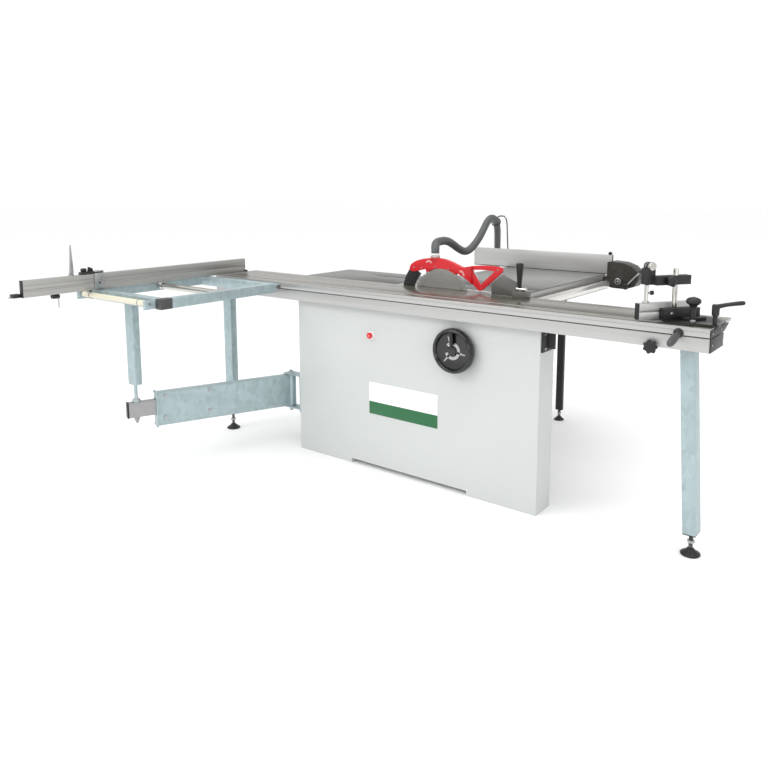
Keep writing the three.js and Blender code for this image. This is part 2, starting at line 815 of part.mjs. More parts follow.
function beltLoop(extra) {
  const angle = THREE.MathUtils.radToDeg(Math.atan2(MOTOR.z, MOTOR.x));
  return [
    ...arc(0, 0, 35 + extra, angle + 90, angle + 270, 12),
    ...arc(MOTOR.x, MOTOR.z, 45 + extra, angle - 90, angle + 90, 12),
  ];
}
part(
  "drive_belt",
  cut(prism("y", beltLoop(5), 115, 133), prism("y", beltLoop(0.6), 114, 134)),
  BLACK_PLASTIC,
  saw,
);
part(
  "motor",
  join(
    box(MOTOR.x - 100, MOTOR.x + 100, 143, 151, MOTOR.z - 95, MOTOR.z + 95),
    rod("y", MOTOR.x, MOTOR.z, 150, 300, 82, 82, 36),
    rod("y", MOTOR.x, MOTOR.z, 299, 313, 74, 66, 36),
    box(MOTOR.x + 20, MOTOR.x + 84, 190, 270, MOTOR.z + 40, MOTOR.z + 98),
  ),
  DARK_METAL,
  saw,
);

// The lift carriage holds the arbor housing, the motor and the riving knife.
function liftCarriage() {
  const strut = (x) => box(x, x + 18, 71, 142.6, MOTOR.z - 40, MOTOR.z + 40);
  return cut(
    join(
      box(-140, 160, 56, 72, -250, -8),
      rod("y", 0, 0, 14, 78, 28),
      strut(MOTOR.x - 100),
      strut(MOTOR.x + 82),
      box(-220, -139, 6, 72, -112, -52),
    ),
    rod("y", 0, 0, 13, 79, BLADE.bore + 0.4),
  );
}
part("lift_carriage", liftCarriage(), CAST_IRON, saw);

const KNIFE = { inner: 170, outer: 236, half: 1.5, low: 208, high: 139 };
const knifeShape = (grow) => [
  ...arc(0, 0, KNIFE.outer + grow, KNIFE.low, KNIFE.high - grow, 12),
  ...arc(0, 0, KNIFE.inner - grow, KNIFE.high - grow - 4, KNIFE.low, 12),
];
part(
  "riving_knife",
  prism("y", knifeShape(0), -KNIFE.half, KNIFE.half),
  BLACK_PLASTIC,
  saw,
);

const SCORER = { x: 211, z: TABLE_Z + 2 - 45 - ARBOR_Z, radius: 45 };
part(
  "scoring_blade",
  join(
    rod("y", SCORER.x, SCORER.z, -1.4, 1.4, SCORER.radius, SCORER.radius, 40),
    rod("y", SCORER.x, SCORER.z, -8, 60, 8),
    rod("y", SCORER.x, SCORER.z, -8, -1, 15, 15, 6),
  ),
  STEEL,
  saw,
);

// The trunnion carries everything that tilts: a U-shaped plate with the scoring spindle housing.
function trunnion() {
  const [z0, z1] = [480 - ARBOR_Z, 845 - ARBOR_Z];
  const housing = rod("y", SCORER.x, SCORER.z, 6, 85, 17);
  return cut(
    join(
      cut(box(-220, 262, 84, 100, z0, z1), box(-160, 180, 83, 101, z0 + 40, z1 + 1)),
      housing,
      box(240, 262, 28, 85, z0 + 220, z1 - 15),
    ),
    rod("y", SCORER.x, SCORER.z, 5, 70, 8.4),
  );
}
part("tilt_trunnion", trunnion(), CAST_IRON, saw);

// ---------------------------------------------------------------- blade guard
// Side view of the guard: a crescent hood that runs down into an open triangular nose.
function guardShape() {
  const shape = new THREE.Shape();
  shape.moveTo(518, 962);
  shape.bezierCurveTo(530, 1000, 620, 1016, 690, 1013);
  shape.bezierCurveTo(750, 1009, 780, 988, 818, 978);
  shape.bezierCurveTo(880, 993, 950, 1000, 1018, 992);
  shape.bezierCurveTo(1032, 988, 1032, 972, 1020, 964);
  shape.lineTo(930, 884);
  shape.bezierCurveTo(918, 874, 905, 875, 896, 884);
  shape.bezierCurveTo(850, 926, 790, 966, 690, 966);
  shape.bezierCurveTo(640, 966, 590, 954, 556, 944);
  shape.bezierCurveTo(530, 938, 514, 946, 518, 962);
  const window = new THREE.Path();
  window.moveTo(866, 969);
  window.lineTo(914, 903);
  window.lineTo(988, 972);
  window.quadraticCurveTo(920, 978, 866, 969);
  shape.holes.push(window);
  return shape;
}
const NOZZLE = { x: 660, y: 262, radius: 19, z0: 1000, z1: 1036 };
const GUARD_PIVOT = { x: 545, z: 960, swing: 10.4 };

function bladeGuard() {
  const hood = prism("y", guardShape(), BLADE.y - 13, BLADE.y + 13, 14);
  const nose = prism("y", guardShape(), BLADE.y - 5, BLADE.y + 5, 14);
  const { x, z, swing } = GUARD_PIVOT;
  const slotAt = (turn) =>
    prism("y", knifeShape(2), -2.5, 2.5)
      .translate([BLADE.x - x, BLADE.y, ARBOR_Z - z])
      .rotate([0, turn, 0])
      .translate([x, 0, z]);
  return cut(
    join(
      cut(hood, box(870, 1100, 200, 300, 850, 1100), box(800, 900, 200, 300, 850, 892)),
      nose,
      rod("z", NOZZLE.x, NOZZLE.y, NOZZLE.z0, NOZZLE.z1, NOZZLE.radius),
      rod("z", NOZZLE.x, NOZZLE.y, 1014, 1020, NOZZLE.radius + 4),
    ),
    rod("y", BLADE.x, ARBOR_Z, BLADE.y - 4, BLADE.y + 4, BLADE.radius + 5, BLADE.radius + 5, 60),
    slotAt(0),
    slotAt(swing / 2),
    slotAt(swing),
  );
}
part("blade_guard", bladeGuard(), RED);

// ---------------------------------------------------------------- dust hose and its holder
const HOSE_ROUTE = [
  [660, 262, 1036.6],
  [660, 262, 1044],
  [656, 268, 1056],
  [647, 281, 1065],
  [632, 306, 1074],
  [612, 350, 1081],
  [594, 405, 1082],
  [578, 463, 1080],
  [565, 520, 1072],
  [553, 582, 1053],
  [542, 656, 1025],
  [530, 724, 1007],
  [517, 786, 1005],
  [505, 848, 1018],
  [495, 907, 1041],
  [484, 968, 1072],
  [469, 1033, 1110],
  [451, 1101, 1145],
  [430, 1174, 1164],
  [407, 1257, 1159],
  [385, 1325, 1131],
  [363, 1377, 1090],
  [343, 1416, 1044],
  [328, 1443, 990],
  [322, 1455, 925],
  [320, 1454, 850],
  [320, 1440, 770],
  [320, 1412, 690],
  [320, 1366, 608],
  [319, 1300, 532],
  [318, 1210, 470],
  [316, 1105, 430],
  [313, 990, 410],
  [309, 870, 407],
  [305, 760, 416],
  [301, 690, 427],
  [300, 655, 430],
  [300, 640.4, 430],
];
part(
  "dust_hose",
  tubeAlong(smoothPath(HOSE_ROUTE), HOSE.radius, HOSE.sides, HOSE.steps),
  RUBBER_GREY,
);

function hoseHolder() {
  const rodPath = smoothPath([
    [486, 1306, 842],
    [475, 1307, 1000],
    [464, 1308, 1150],
    [454, 1308, 1170],
    [432, 1308, 1175],
    [408, 1314, 1171],
    [386, 1323, 1161],
  ]);
  const ring = new THREE.TorusGeometry(HOSE.radius + 5.5, 4, 6, 20);
  ring.lookAt(new THREE.Vector3(-21, 67, -30));
  ring.translate(388.5, 1314, 1136);
  return join(
    tubeAlong(rodPath, 4, 8, 18),
    solid(ring),
    box(484, 500, EXTENSION.y1 + GAP, EXTENSION.y1 + 14, 842, 862),
  );
}
part("hose_holder", hoseHolder(), STEEL);

root.position.set(-BLADE.x, -BLADE.y, 0);
const machine = new THREE.Group();
machine.add(root);
export default machine;
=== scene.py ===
"""Looks of the panel saw: materials, softened castings and profiles, toothed blades, ribbed hose."""

import json
import math

import bmesh
import bpy
from mathutils import Matrix, Vector


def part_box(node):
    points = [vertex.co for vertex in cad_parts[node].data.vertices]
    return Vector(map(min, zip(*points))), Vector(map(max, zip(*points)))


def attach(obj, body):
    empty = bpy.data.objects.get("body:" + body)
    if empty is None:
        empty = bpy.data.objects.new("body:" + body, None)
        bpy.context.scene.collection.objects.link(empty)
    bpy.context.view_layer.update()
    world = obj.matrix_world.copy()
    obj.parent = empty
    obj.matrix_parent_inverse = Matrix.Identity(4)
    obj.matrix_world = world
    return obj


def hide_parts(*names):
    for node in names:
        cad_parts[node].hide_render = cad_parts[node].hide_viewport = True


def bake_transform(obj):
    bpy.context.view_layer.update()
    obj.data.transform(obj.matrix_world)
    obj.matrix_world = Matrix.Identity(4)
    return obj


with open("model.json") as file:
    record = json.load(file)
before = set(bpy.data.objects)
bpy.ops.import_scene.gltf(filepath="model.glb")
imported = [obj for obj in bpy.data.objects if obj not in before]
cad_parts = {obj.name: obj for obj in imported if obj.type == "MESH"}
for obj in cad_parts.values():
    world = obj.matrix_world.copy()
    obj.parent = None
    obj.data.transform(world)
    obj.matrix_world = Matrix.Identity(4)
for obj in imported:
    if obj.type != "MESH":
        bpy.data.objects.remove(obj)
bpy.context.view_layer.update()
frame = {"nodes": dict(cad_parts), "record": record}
NODES = frame["nodes"]
RECORD = frame["record"]
BODY_OF = {n: b for b, members in RECORD["behaviour"]["bodies"].items() for n in members}
SLOT_OF = {s["node"]: s["material_slot"] for s in RECORD["subparts"]}
MM = 0.001
# The millimetre positions below count from the cabinet's front left corner on the floor.
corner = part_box("base_cabinet")[0]


def at(x, y, z):
    """A point in the row frame, in metres, from millimetres beside the cabinet's corner."""
    return Vector((corner.x + x * MM, corner.y + y * MM, z * MM))


# ------------------------------------------------------------------ camera
PHOTO_SIZE = 768
FOCAL_PIXELS = 743.5
camera_data = bpy.data.cameras.new("camera")
camera = bpy.data.objects.new("camera", camera_data)
bpy.context.scene.collection.objects.link(camera)
camera_data.sensor_width = 36.0
camera_data.lens = FOCAL_PIXELS / PHOTO_SIZE * camera_data.sensor_width
camera_data.shift_x = -0.0153
camera_data.shift_y = -0.1159
camera_data.clip_end = 100
camera.location = at(2658.1, -2671.2, 1355.9)
camera.rotation_euler = (math.radians(90 - 8.372), 0, math.radians(37.316))
bpy.context.scene.camera = camera


# ------------------------------------------------------------------ materials
def material(
    name,
    color,
    rough,
    metal=0.0,
    vary=0.06,
    scale=6.0,
    stretch=(1, 1, 1),
    fine=0.0,
    fine_scale=700.0,
    fine_stretch=None,
    rough_vary=0.08,
    coat=0.0,
    cells=False,
    aniso=0.0,
):
    """A procedural surface: two shades mixed by noise or cells, uneven gloss and a fine relief."""
    m = bpy.data.materials.new(name)
    m.use_nodes = True
    nodes, links = m.node_tree.nodes, m.node_tree.links
    shader = nodes["Principled BSDF"]
    shader.inputs["Metallic"].default_value = metal
    shader.inputs["Coat Weight"].default_value = coat
    shader.inputs["Anisotropic"].default_value = aniso
    place = nodes.new("ShaderNodeTexCoord")
    mapping = nodes.new("ShaderNodeMapping")
    mapping.inputs["Scale"].default_value = stretch
    links.new(place.outputs["Object"], mapping.inputs["Vector"])
    if cells:
        pattern = nodes.new("ShaderNodeTexVoronoi")
        pattern.inputs["Scale"].default_value = scale
        links.new(mapping.outputs[0], pattern.inputs["Vector"])
        value = nodes.new("ShaderNodeSeparateColor")
        links.new(pattern.outputs["Color"], value.inputs[0])
        level = value.outputs[0]
    else:
        pattern = nodes.new("ShaderNodeTexNoise")
        pattern.inputs["Scale"].default_value = scale
        pattern.inputs["Detail"].default_value = 5.0
        links.new(mapping.outputs[0], pattern.inputs["Vector"])
        level = pattern.outputs["Fac"]
    ramp = nodes.new("ShaderNodeValToRGB")
    low, high = ramp.color_ramp.elements
    low.position, high.position = (0.0, 1.0) if cells else (0.3, 0.7)
    low.color = [c * (1 - vary) for c in color] + [1]
    high.color = [min(1, c * (1 + vary)) for c in color] + [1]
    links.new(level, ramp.inputs["Fac"])
    links.new(ramp.outputs["Color"], shader.inputs["Base Color"])
    gloss = nodes.new("ShaderNodeMapRange")
    gloss.inputs["To Min"].default_value = max(0.02, rough - rough_vary)
    gloss.inputs["To Max"].default_value = min(1, rough + rough_vary)
    links.new(level, gloss.inputs["Value"])
    links.new(gloss.outputs[0], shader.inputs["Roughness"])
    if fine:
        relief_place = nodes.new("ShaderNodeMapping")
        relief_place.inputs["Scale"].default_value = fine_stretch or stretch
        links.new(place.outputs["Object"], relief_place.inputs["Vector"])
        relief = nodes.new("ShaderNodeTexNoise")
        relief.inputs["Scale"].default_value = fine_scale
        relief.inputs["Detail"].default_value = 3.0
        links.new(relief_place.outputs[0], relief.inputs["Vector"])
        bump = nodes.new("ShaderNodeBump")
        bump.inputs["Strength"].default_value = fine
        bump.inputs["Distance"].default_value = 0.0005
        links.new(relief.outputs["Fac"], bump.inputs["Height"])
        links.new(bump.outputs["Normal"], shader.inputs["Normal"])
    return m


def disc_material(name, color, centre, rough):
    """Ground steel whose scratches run round the point centre, in a plane across Y."""
    m = material(name, color, rough, 1.0, 0.05, 30, fine=0.1)
    nodes, links = m.node_tree.nodes, m.node_tree.links
    place = nodes.new("ShaderNodeTexCoord")
    offset = nodes.new("ShaderNodeVectorMath")
    offset.operation = "SUBTRACT"
    offset.inputs[1].default_value = centre
    flat = nodes.new("ShaderNodeVectorMath")
    flat.operation = "MULTIPLY"
    flat.inputs[1].default_value = (1, 0, 1)
    length = nodes.new("ShaderNodeVectorMath")
    length.operation = "LENGTH"
    rings = nodes.new("ShaderNodeTexNoise")
    rings.noise_dimensions = "1D"
    rings.inputs["Scale"].default_value = 260.0
    rings.inputs["Detail"].default_value = 6.0
    ramp = nodes.new("ShaderNodeValToRGB")
    ramp.color_ramp.elements[0].position = 0.3
    ramp.color_ramp.elements[0].color = [c * 0.72 for c in color] + [1]
    ramp.color_ramp.elements[1].position = 0.72
    ramp.color_ramp.elements[1].color = [min(1, c * 1.15) for c in color] + [1]
    links.new(place.outputs["Object"], offset.inputs[0])
    links.new(offset.outputs[0], flat.inputs[0])
    links.new(flat.outputs[0], length.inputs[0])
    links.new(length.outputs["Value"], rings.inputs["W"])
    links.new(rings.outputs["Fac"], ramp.inputs["Fac"])
    links.new(ramp.outputs["Color"], nodes["Principled BSDF"].inputs["Base Color"])
    return m


ALONG_X = (0.25, 60, 60)
ALONG_Y = (60, 0.25, 60)
powder = material("powder_coat", (0.56, 0.58, 0.57), 0.45, 0, 0.02, 2.2, fine=0.08, fine_scale=900)
galvanised = material(
    "zinc", (0.38, 0.47, 0.49), 0.42, 0.5, 0.1, 55, (1, 1, 0.6), 0.05, 500, cells=True
)
alu_x = material("alu_x", (0.5, 0.5, 0.49), 0.4, 0.75, 0.05, 6, ALONG_X, 0.06, 40, aniso=0.3)
alu_y = material("alu_y", (0.4, 0.395, 0.38), 0.4, 0.75, 0.05, 6, ALONG_Y, 0.06, 40, aniso=0.3)
alu_arm = material("alu_arm", (0.34, 0.34, 0.345), 0.4, 0.7, 0.04, 25, fine=0.05)
table_top = material(
    "slide_top", (0.2, 0.185, 0.155), 0.27, 0.7, 0.28, 1.6, ALONG_X, 0.08, 12, rough_vary=0.1
)
iron_top = material("iron_top", (0.14, 0.14, 0.135), 0.36, 0.65, 0.12, 3.5, (1, 25, 1), 0.12, 60, ALONG_X)
iron_raw = material("iron_raw", (0.2, 0.2, 0.2), 0.6, 0.5, 0.12, 30, fine=0.5, fine_scale=350)
plate_top = material("plate_top", (0.3, 0.3, 0.29), 0.36, 0.65, 0.08, 3, ALONG_Y, 0.06, 40)
steel = material("steel", (0.42, 0.425, 0.43), 0.3, 1.0, 0.06, 40, fine=0.06)
# Dark steel for threads, plugs, screws and bands; its thin strips along the tables and fences are painted
# shade in their grooves.
dark_steel_and_groove_shade = material("dark_steel_and_groove_shade", (0.12, 0.12, 0.125), 0.4, 0.8, 0.1, 60, fine=0.1)
chrome = material("chrome", (0.55, 0.54, 0.51), 0.16, 1.0, 0.03, 20, rough_vary=0.04)
# A lighter copy of the chrome for the rail bar: its extra brightness is painted highlight standing in for
# the bar's bright reflection.
chrome_painted_highlight = material("chrome_painted_highlight", (0.72, 0.71, 0.68), 0.24, 0.7, 0.04, 20, ALONG_Y, rough_vary=0.04)
# Black for knobs, caps, pads and printed ticks; its thin strips in the blade slots, screw heads, fence plate
# and table front are painted shade.
black_plastic_and_shade = material("black_plastic", (0.008, 0.008, 0.009), 0.45, 0, 0.15, 90, fine=0.12)
gloss_black = material("gloss_black", (0.006, 0.006, 0.007), 0.18, 0, 0.1, 60, fine=0.02, coat=0.3)
black_paint = material("black_paint", (0.009, 0.009, 0.01), 0.5, 0, 0.12, 40, fine=0.25)
casting = material("casting", (0.028, 0.026, 0.021), 0.4, 0.3, 0.25, 45, fine=0.45, fine_scale=260)
machine_grey = material("machine_grey", (0.17, 0.18, 0.19), 0.45, 0, 0.08, 20, fine=0.2)
red = material("red_plastic", (0.66, 0.004, 0.012), 0.32, 0, 0.05, 14, fine=0.05, coat=0.1)
pale_print = material("pale_print", (0.85, 0.62, 0.6), 0.5, 0, 0.03, 60, fine=0.03)
shoe_grey = material("shoe_grey", (0.13, 0.127, 0.12), 0.4, 0.5, 0.1, 8, fine=0.1)
cream = material("roller_cream", (0.68, 0.65, 0.52), 0.35, 0, 0.04, 12, fine=0.05)
grip_rubber = material("grip_rubber", (0.06, 0.06, 0.063), 0.45, 0, 0.12, 60, fine=0.3)
hose_plastic = material("hose_plastic", (0.085, 0.087, 0.09), 0.42, 0, 0.08, 18, fine=0.1)
belt_rubber = material("belt_rubber", (0.02, 0.02, 0.02), 0.7, 0, 0.1, 200, fine=0.3)
label_white = material("label_white", (0.9, 0.91, 0.9), 0.3, 0, 0.01, 5, fine=0.02, coat=0.3)
label_green = material("label_green", (0.0, 0.12, 0.03), 0.4, 0, 0.04, 8, fine=0.02, coat=0.3)
blade_centre = (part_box("saw_blade")[0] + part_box("saw_blade")[1]) / 2
scorer_low, scorer_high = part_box("scoring_blade")
scorer_centre = (scorer_low + scorer_high) / 2
blade_steel = disc_material("blade_steel", (0.36, 0.35, 0.335), blade_centre, 0.34)
scorer_steel = disc_material("scorer_steel", (0.5, 0.49, 0.47), scorer_centre, 0.26)
SURFACE = {
    "paint_grey": powder,
    "galvanised": galvanised,
    "aluminium": alu_x,
    "cast_iron": iron_raw,
    "dark_casting": casting,
    "machine_grey": machine_grey,
    "steel": steel,
    "sheet_steel": iron_raw,
    "chrome": chrome,
    "black_plastic": black_plastic_and_shade,
    "black_metal": black_paint,
    "red_plastic": red,
    "roller_cream": cream,
    "grip_grey": grip_rubber,
    "hose_grey": hose_plastic,
    "belt_black": belt_rubber,
}


# ------------------------------------------------------------------ mesh helpers
def soften(bm, width, segments=2, angle=32):
    """Rounds every edge that turns more than angle degrees."""
    edges = [e for e in bm.edges if e.is_manifold and e.calc_face_angle(0) > math.radians(angle)]
    if edges and width > 0:
        bmesh.ops.bevel(
            bm,
            geom=edges,
            offset=width * MM,
            offset_type="OFFSET",
            segments=segments,
            profile=0.5,
            affect="EDGES",
            clamp_overlap=True,
        )


def add_object(name, bm, materials, body, stands_for=(), smooth=34):
    """Turns a bmesh in row-frame metres into a piece that rides on a body."""
    mesh = bpy.data.meshes.new(name)
    bmesh.ops.recalc_face_normals(bm, faces=bm.faces)
    bm.to_mesh(mesh)
    bm.free()
    for m in materials:
        mesh.materials.append(m)
    mesh.polygons.foreach_set("use_smooth", [True] * len(mesh.polygons))
    mesh.set_sharp_from_angle(angle=math.radians(smooth))
    obj = bpy.data.objects.new(name, mesh)
    bpy.context.scene.collection.objects.link(obj)
    if body:
        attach(obj, body)
    if stands_for:
        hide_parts(*stands_for)
    return obj


def refined(node, main=None, top=None, bevel=1.0, segments=2, name=None):
    """The node's own solid with rounded edges; faces that look up can have a second material."""
    bm = bmesh.new()
    bm.from_mesh(NODES[node].data)
    bmesh.ops.remove_doubles(bm, verts=bm.verts, dist=1e-5)
    bmesh.ops.dissolve_limit(
        bm, angle_limit=math.radians(1.0), verts=bm.verts, edges=bm.edges, use_dissolve_boundaries=False
    )
    soften(bm, bevel, segments)
    materials = [main or SURFACE[SLOT_OF[node]]]
    if top:
        materials.append(top)
    highest = max(v.co.z for v in bm.verts)
    for face in bm.faces:
        level = highest - face.calc_center_median().z
        face.material_index = int(bool(top) and face.normal.z > 0.7 and level < 0.002)
    return add_object(
        name or node + "_form", bm, materials, BODY_OF[node], (node,)
    )


class Piece:
    """Gathers shapes, in millimetres beside the cabinet's corner, into one mesh."""

    def __init__(self, name, body, slot=None, stands_for=(), smooth=34):
        self.name, self.body, self.slot = name, body, slot
        self.stands_for, self.smooth = stands_for, smooth
        self.bm = bmesh.new()
        self.materials = []

    def take(self, part, look):
        if look not in self.materials:
            self.materials.append(look)
        index = self.materials.index(look)
        for face in part.faces:
            face.material_index = index
        mesh = bpy.data.meshes.new("part")
        part.to_mesh(mesh)
        part.free()
        self.bm.from_mesh(mesh)
        bpy.data.meshes.remove(mesh)
        return self

    def hull(self, rings, look, closed=False, caps=True, bevel=0):
        """Joins rings of the same number of points, given in millimetres."""
        part = bmesh.new()
        loops = [[part.verts.new(at(*p)) for p in ring] for ring in rings]
        count = len(loops[0])
        pairs = list(zip(loops, loops[1:])) + ([(loops[-1], loops[0])] if closed else [])
        for a, b in pairs:
            for i in range(count):
                j = (i + 1) % count
                part.faces.new((a[i], a[j], b[j], b[i]))
        if caps and not closed:
            part.faces.new(loops[0][::-1])
            part.faces.new(loops[-1])
        bmesh.ops.recalc_face_normals(part, faces=part.faces)
        if bevel:
            soften(part, bevel, 2)
        return self.take(part, look)

    def prism(self, axis, outline, a, b, look, bevel=0.8):
        """An outline pushed from a to b along an axis: (y, z) for X, (x, z) for Y, (x, y) for Z."""
        place = {
            "x": lambda u, v, w: (w, u, v),
            "y": lambda u, v, w: (u, w, v),
            "z": lambda u, v, w: (u, v, w),
        }[axis]
        return self.hull([[place(u, v, w) for u, v in outline] for w in (a, b)], look, bevel=bevel)

    def box(self, x0, x1, y0, y1, z0, z1, look, bevel=0.8):
        return self.prism("z", [(x0, y0), (x1, y0), (x1, y1), (x0, y1)], z0, z1, look, bevel)

    def turned(self, profile, base, axis, look, sides=40, twist=0.0):
        """Turns (radius, height) points round an axis through base."""
        direction = Vector(axis).normalized()
        turn = direction.to_track_quat("Z", "Y").to_matrix()
        rings = []
        for r, h in profile:
            ring = []
            for i in range(sides):
                a = 2 * math.pi * i / sides + twist
                p = turn @ Vector((r * math.cos(a), r * math.sin(a), h)) + Vector(base)
                ring.append(tuple(p))
            rings.append(ring)
        return self.hull(rings, look)

    def rod(self, a, b, radius, look, sides=24, edge=0.6):
        """A round bar from a to b with small chamfers."""
        start, end = Vector(a), Vector(b)
        length = (end - start).length
        edge = min(edge, radius * 0.3, length * 0.3)
        profile = [(radius - edge, 0), (radius, edge), (radius, length - edge), (radius - edge, length)]
        return self.turned(profile, a, end - start, look, sides)

    def bolt(self, base, axis, size, look, washer=True):
        """A hexagon head on a washer."""
        if washer:
            self.turned([(size * 1.1, 0), (size * 1.1, size * 0.16)], base, axis, look, 20)
        top = Vector(base) + Vector(axis).normalized() * size * 0.16
        head = [(size * 0.98, 0), (size * 0.98, size * 0.5), (size * 0.84, size * 0.62)]
        return self.turned(head, tuple(top), axis, look, 6)

    def screw(self, base, axis, size, look):
        """A domed screw; the hex recess in its head is a flat black hexagon of painted shade."""
        dome = [(size, 0), (size, size * 0.25), (size * 0.82, size * 0.5), (size * 0.45, size * 0.62)]
        self.turned(dome, base, axis, look, 16)
        # The hex recess is a flat black hexagon on the dome: painted shade.
        socket_shade = Vector(base) + Vector(axis).normalized() * size * 0.63
        return self.turned([(size * 0.4, -0.2), (size * 0.36, 0.05)], tuple(socket_shade), axis, black_plastic_and_shade, 6)

    def sweep(self, points, radii, look, sides=16, caps=True):
        """A tube through points whose radius may change; radii is one number or one a point."""
        path = [Vector(p) for p in points]
        if not isinstance(radii, (list, tuple)):
            radii = [radii] * len(path)
        rings, side = [], None
        for i, p in enumerate(path):
            ahead = (path[min(i + 1, len(path) - 1)] - path[max(i - 1, 0)]).normalized()
            if side is None:
                side = ahead.orthogonal().normalized()
            side = (side - ahead * side.dot(ahead)).normalized()
            up = ahead.cross(side)
            ring = []
            for k in range(sides):
                a = 2 * math.pi * k / sides
                ring.append(tuple(p + (side * math.cos(a) + up * math.sin(a)) * radii[i]))
            rings.append(ring)
        return self.hull(rings, look, caps=caps)

    def thread(self, x, y, z0, z1, radius, look):
        """A threaded rod standing upright."""
        pitch, steps = 2.5, int((z1 - z0) / 1.25)
        profile = [(radius - (0.9 if i % 2 else 0.0), z0 + i * pitch / 2) for i in range(steps + 1)]
        return self.turned(profile, (x, y, 0), (0, 0, 1), look, 20)

    def star(self, base, axis, radius, lobes, height, look):
        """A lobed knob with a rounded crown."""
        direction = Vector(axis).normalized()
        turn = direction.to_track_quat("Z", "Y").to_matrix()
        levels = [(0.7, 0.0), (0.9, 0.08), (1.0, 0.25), (1.0, 0.72), (0.94, 0.9), (0.8, 1.0), (0.3, 1.05)]
        rings = []
        for share, h in levels:
            ring = []
            for i in range(lobes * 10):
                a = 2 * math.pi * i / (lobes * 10)
                r = radius * share * (0.9 + 0.1 * math.cos(lobes * a))
                p = turn @ Vector((r * math.cos(a), r * math.sin(a), h * height)) + Vector(base)
                ring.append(tuple(p))
            rings.append(ring)
        return self.hull(rings, look)

    def done(self):
        return add_object(
            self.name, self.bm, self.materials, self.body, self.stands_for, self.smooth
        )


def circle(x, y, radius, start, end, steps):
    return [
        (
            x + radius * math.cos(math.radians(start + (end - start) * i / steps)),
            y + radius * math.sin(math.radians(start + (end - start) * i / steps)),
        )
        for i in range(steps + 1)
    ]


# ------------------------------------------------------------------ dust hose
HOSE_POINTS = [
    (660, 262, 1036.6), (660, 262, 1044), (656, 268, 1056), (647, 281, 1065),
    (632, 306, 1074), (612, 350, 1081), (594, 405, 1082), (578, 463, 1080),
    (565, 520, 1072), (553, 582, 1053), (542, 656, 1025), (530, 724, 1007),
    (517, 786, 1005), (505, 848, 1018), (495, 907, 1041), (484, 968, 1072),
    (469, 1033, 1110), (451, 1101, 1145), (430, 1174, 1164), (407, 1257, 1159),
    (385, 1325, 1131), (363, 1377, 1090), (343, 1416, 1044), (328, 1443, 990),
    (322, 1455, 925), (320, 1454, 850), (320, 1440, 770), (320, 1412, 690),
    (320, 1366, 608), (319, 1300, 532), (318, 1210, 470), (316, 1105, 430),
    (313, 990, 410), (309, 870, 407), (305, 760, 416), (301, 690, 427),
    (300, 655, 430), (300, 640.4, 430),
]
HOSE_RADIUS = 20.3
RIB_PITCH = 7.5
RIB_DEPTH = 1.7
NECK_ENDS = (70.0, 212.0)  # lengths along the hose where its bending stretches meet


def smooth_curve(points, step):
    """A centripetal Catmull-Rom curve through the points, sampled at an even step."""
    pts = [Vector(p) for p in points]
    pts = [pts[0] * 2 - pts[1]] + pts + [pts[-1] * 2 - pts[-2]]
    dense = []
    for p0, p1, p2, p3 in zip(pts, pts[1:], pts[2:], pts[3:]):
        t1 = (p1 - p0).length ** 0.5
        t2 = t1 + (p2 - p1).length ** 0.5
        t3 = t2 + (p3 - p2).length ** 0.5
        for i in range(24):
            t = t1 + (t2 - t1) * i / 24
            a1 = p0 * ((t1 - t) / t1) + p1 * (t / t1)
            a2 = p1 * ((t2 - t) / (t2 - t1)) + p2 * ((t - t1) / (t2 - t1))
            a3 = p2 * ((t3 - t) / (t3 - t2)) + p3 * ((t - t2) / (t3 - t2))
            b1 = a1 * ((t2 - t) / t2) + a2 * (t / t2)
            b2 = a2 * ((t3 - t) / (t3 - t1)) + a3 * ((t - t1) / (t3 - t1))
            dense.append(b1 * ((t2 - t) / (t2 - t1)) + b2 * ((t - t1) / (t2 - t1)))
    dense.append(pts[-2])
    lengths = [0.0]
    for a, b in zip(dense, dense[1:]):
        lengths.append(lengths[-1] + (b - a).length)
    total = lengths[-1]
    count = round(total / step)
    even, k = [], 0
    for i in range(count + 1):
        want = total * i / count
        while k < len(lengths) - 2 and lengths[k + 1] < want:
            k += 1
        share = (want - lengths[k]) / (lengths[k + 1] - lengths[k])
        even.append(dense[k].lerp(dense[k + 1], share))
    return even, total


hose_line, hose_length = smooth_curve(HOSE_POINTS, RIB_PITCH / 4)


def hose_stretch(name, start, end):
    """The part of the hose between two lengths along it, as a ribbed tube."""
    step = hose_length / (len(hose_line) - 1)
    first, last = round(start / step), round(end / step)
    piece = Piece(name, None, "hose_grey", smooth=60)
    radii = [
        HOSE_RADIUS - RIB_DEPTH * (0.5 - 0.5 * math.cos(math.pi / 2 * i))
        for i in range(first, last + 1)
    ]
    piece.sweep(hose_line[first : last + 1], radii, hose_plastic, 22)
    obj = piece.done()
    obj.parent = None
    return obj, [at(*p) for p in hose_line[first : last + 1]]


neck_lower, lower_line = hose_stretch("hose_neck_lower", 0, NECK_ENDS[0])
neck_upper, upper_line = hose_stretch("hose_neck_upper", NECK_ENDS[0], NECK_ENDS[1])
hose, hose_path = hose_stretch("dust_hose_ribbed", NECK_ENDS[1], hose_length)
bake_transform(neck_lower)
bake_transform(neck_upper)
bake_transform(hose)
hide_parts("dust_hose")

# ------------------------------------------------------------------ cabinet
refined("base_cabinet", bevel=2.5, segments=3)
refined("rear_cabinet", bevel=1.2)
label = Piece("front_plate", "base", "paint_grey")
label.box(464, 857, -1.3, -0.1, 336, 430, label_white, 0.3)
label.box(464, 857, -1.3, -0.1, 275, 336, label_green, 0.3)
label.done()

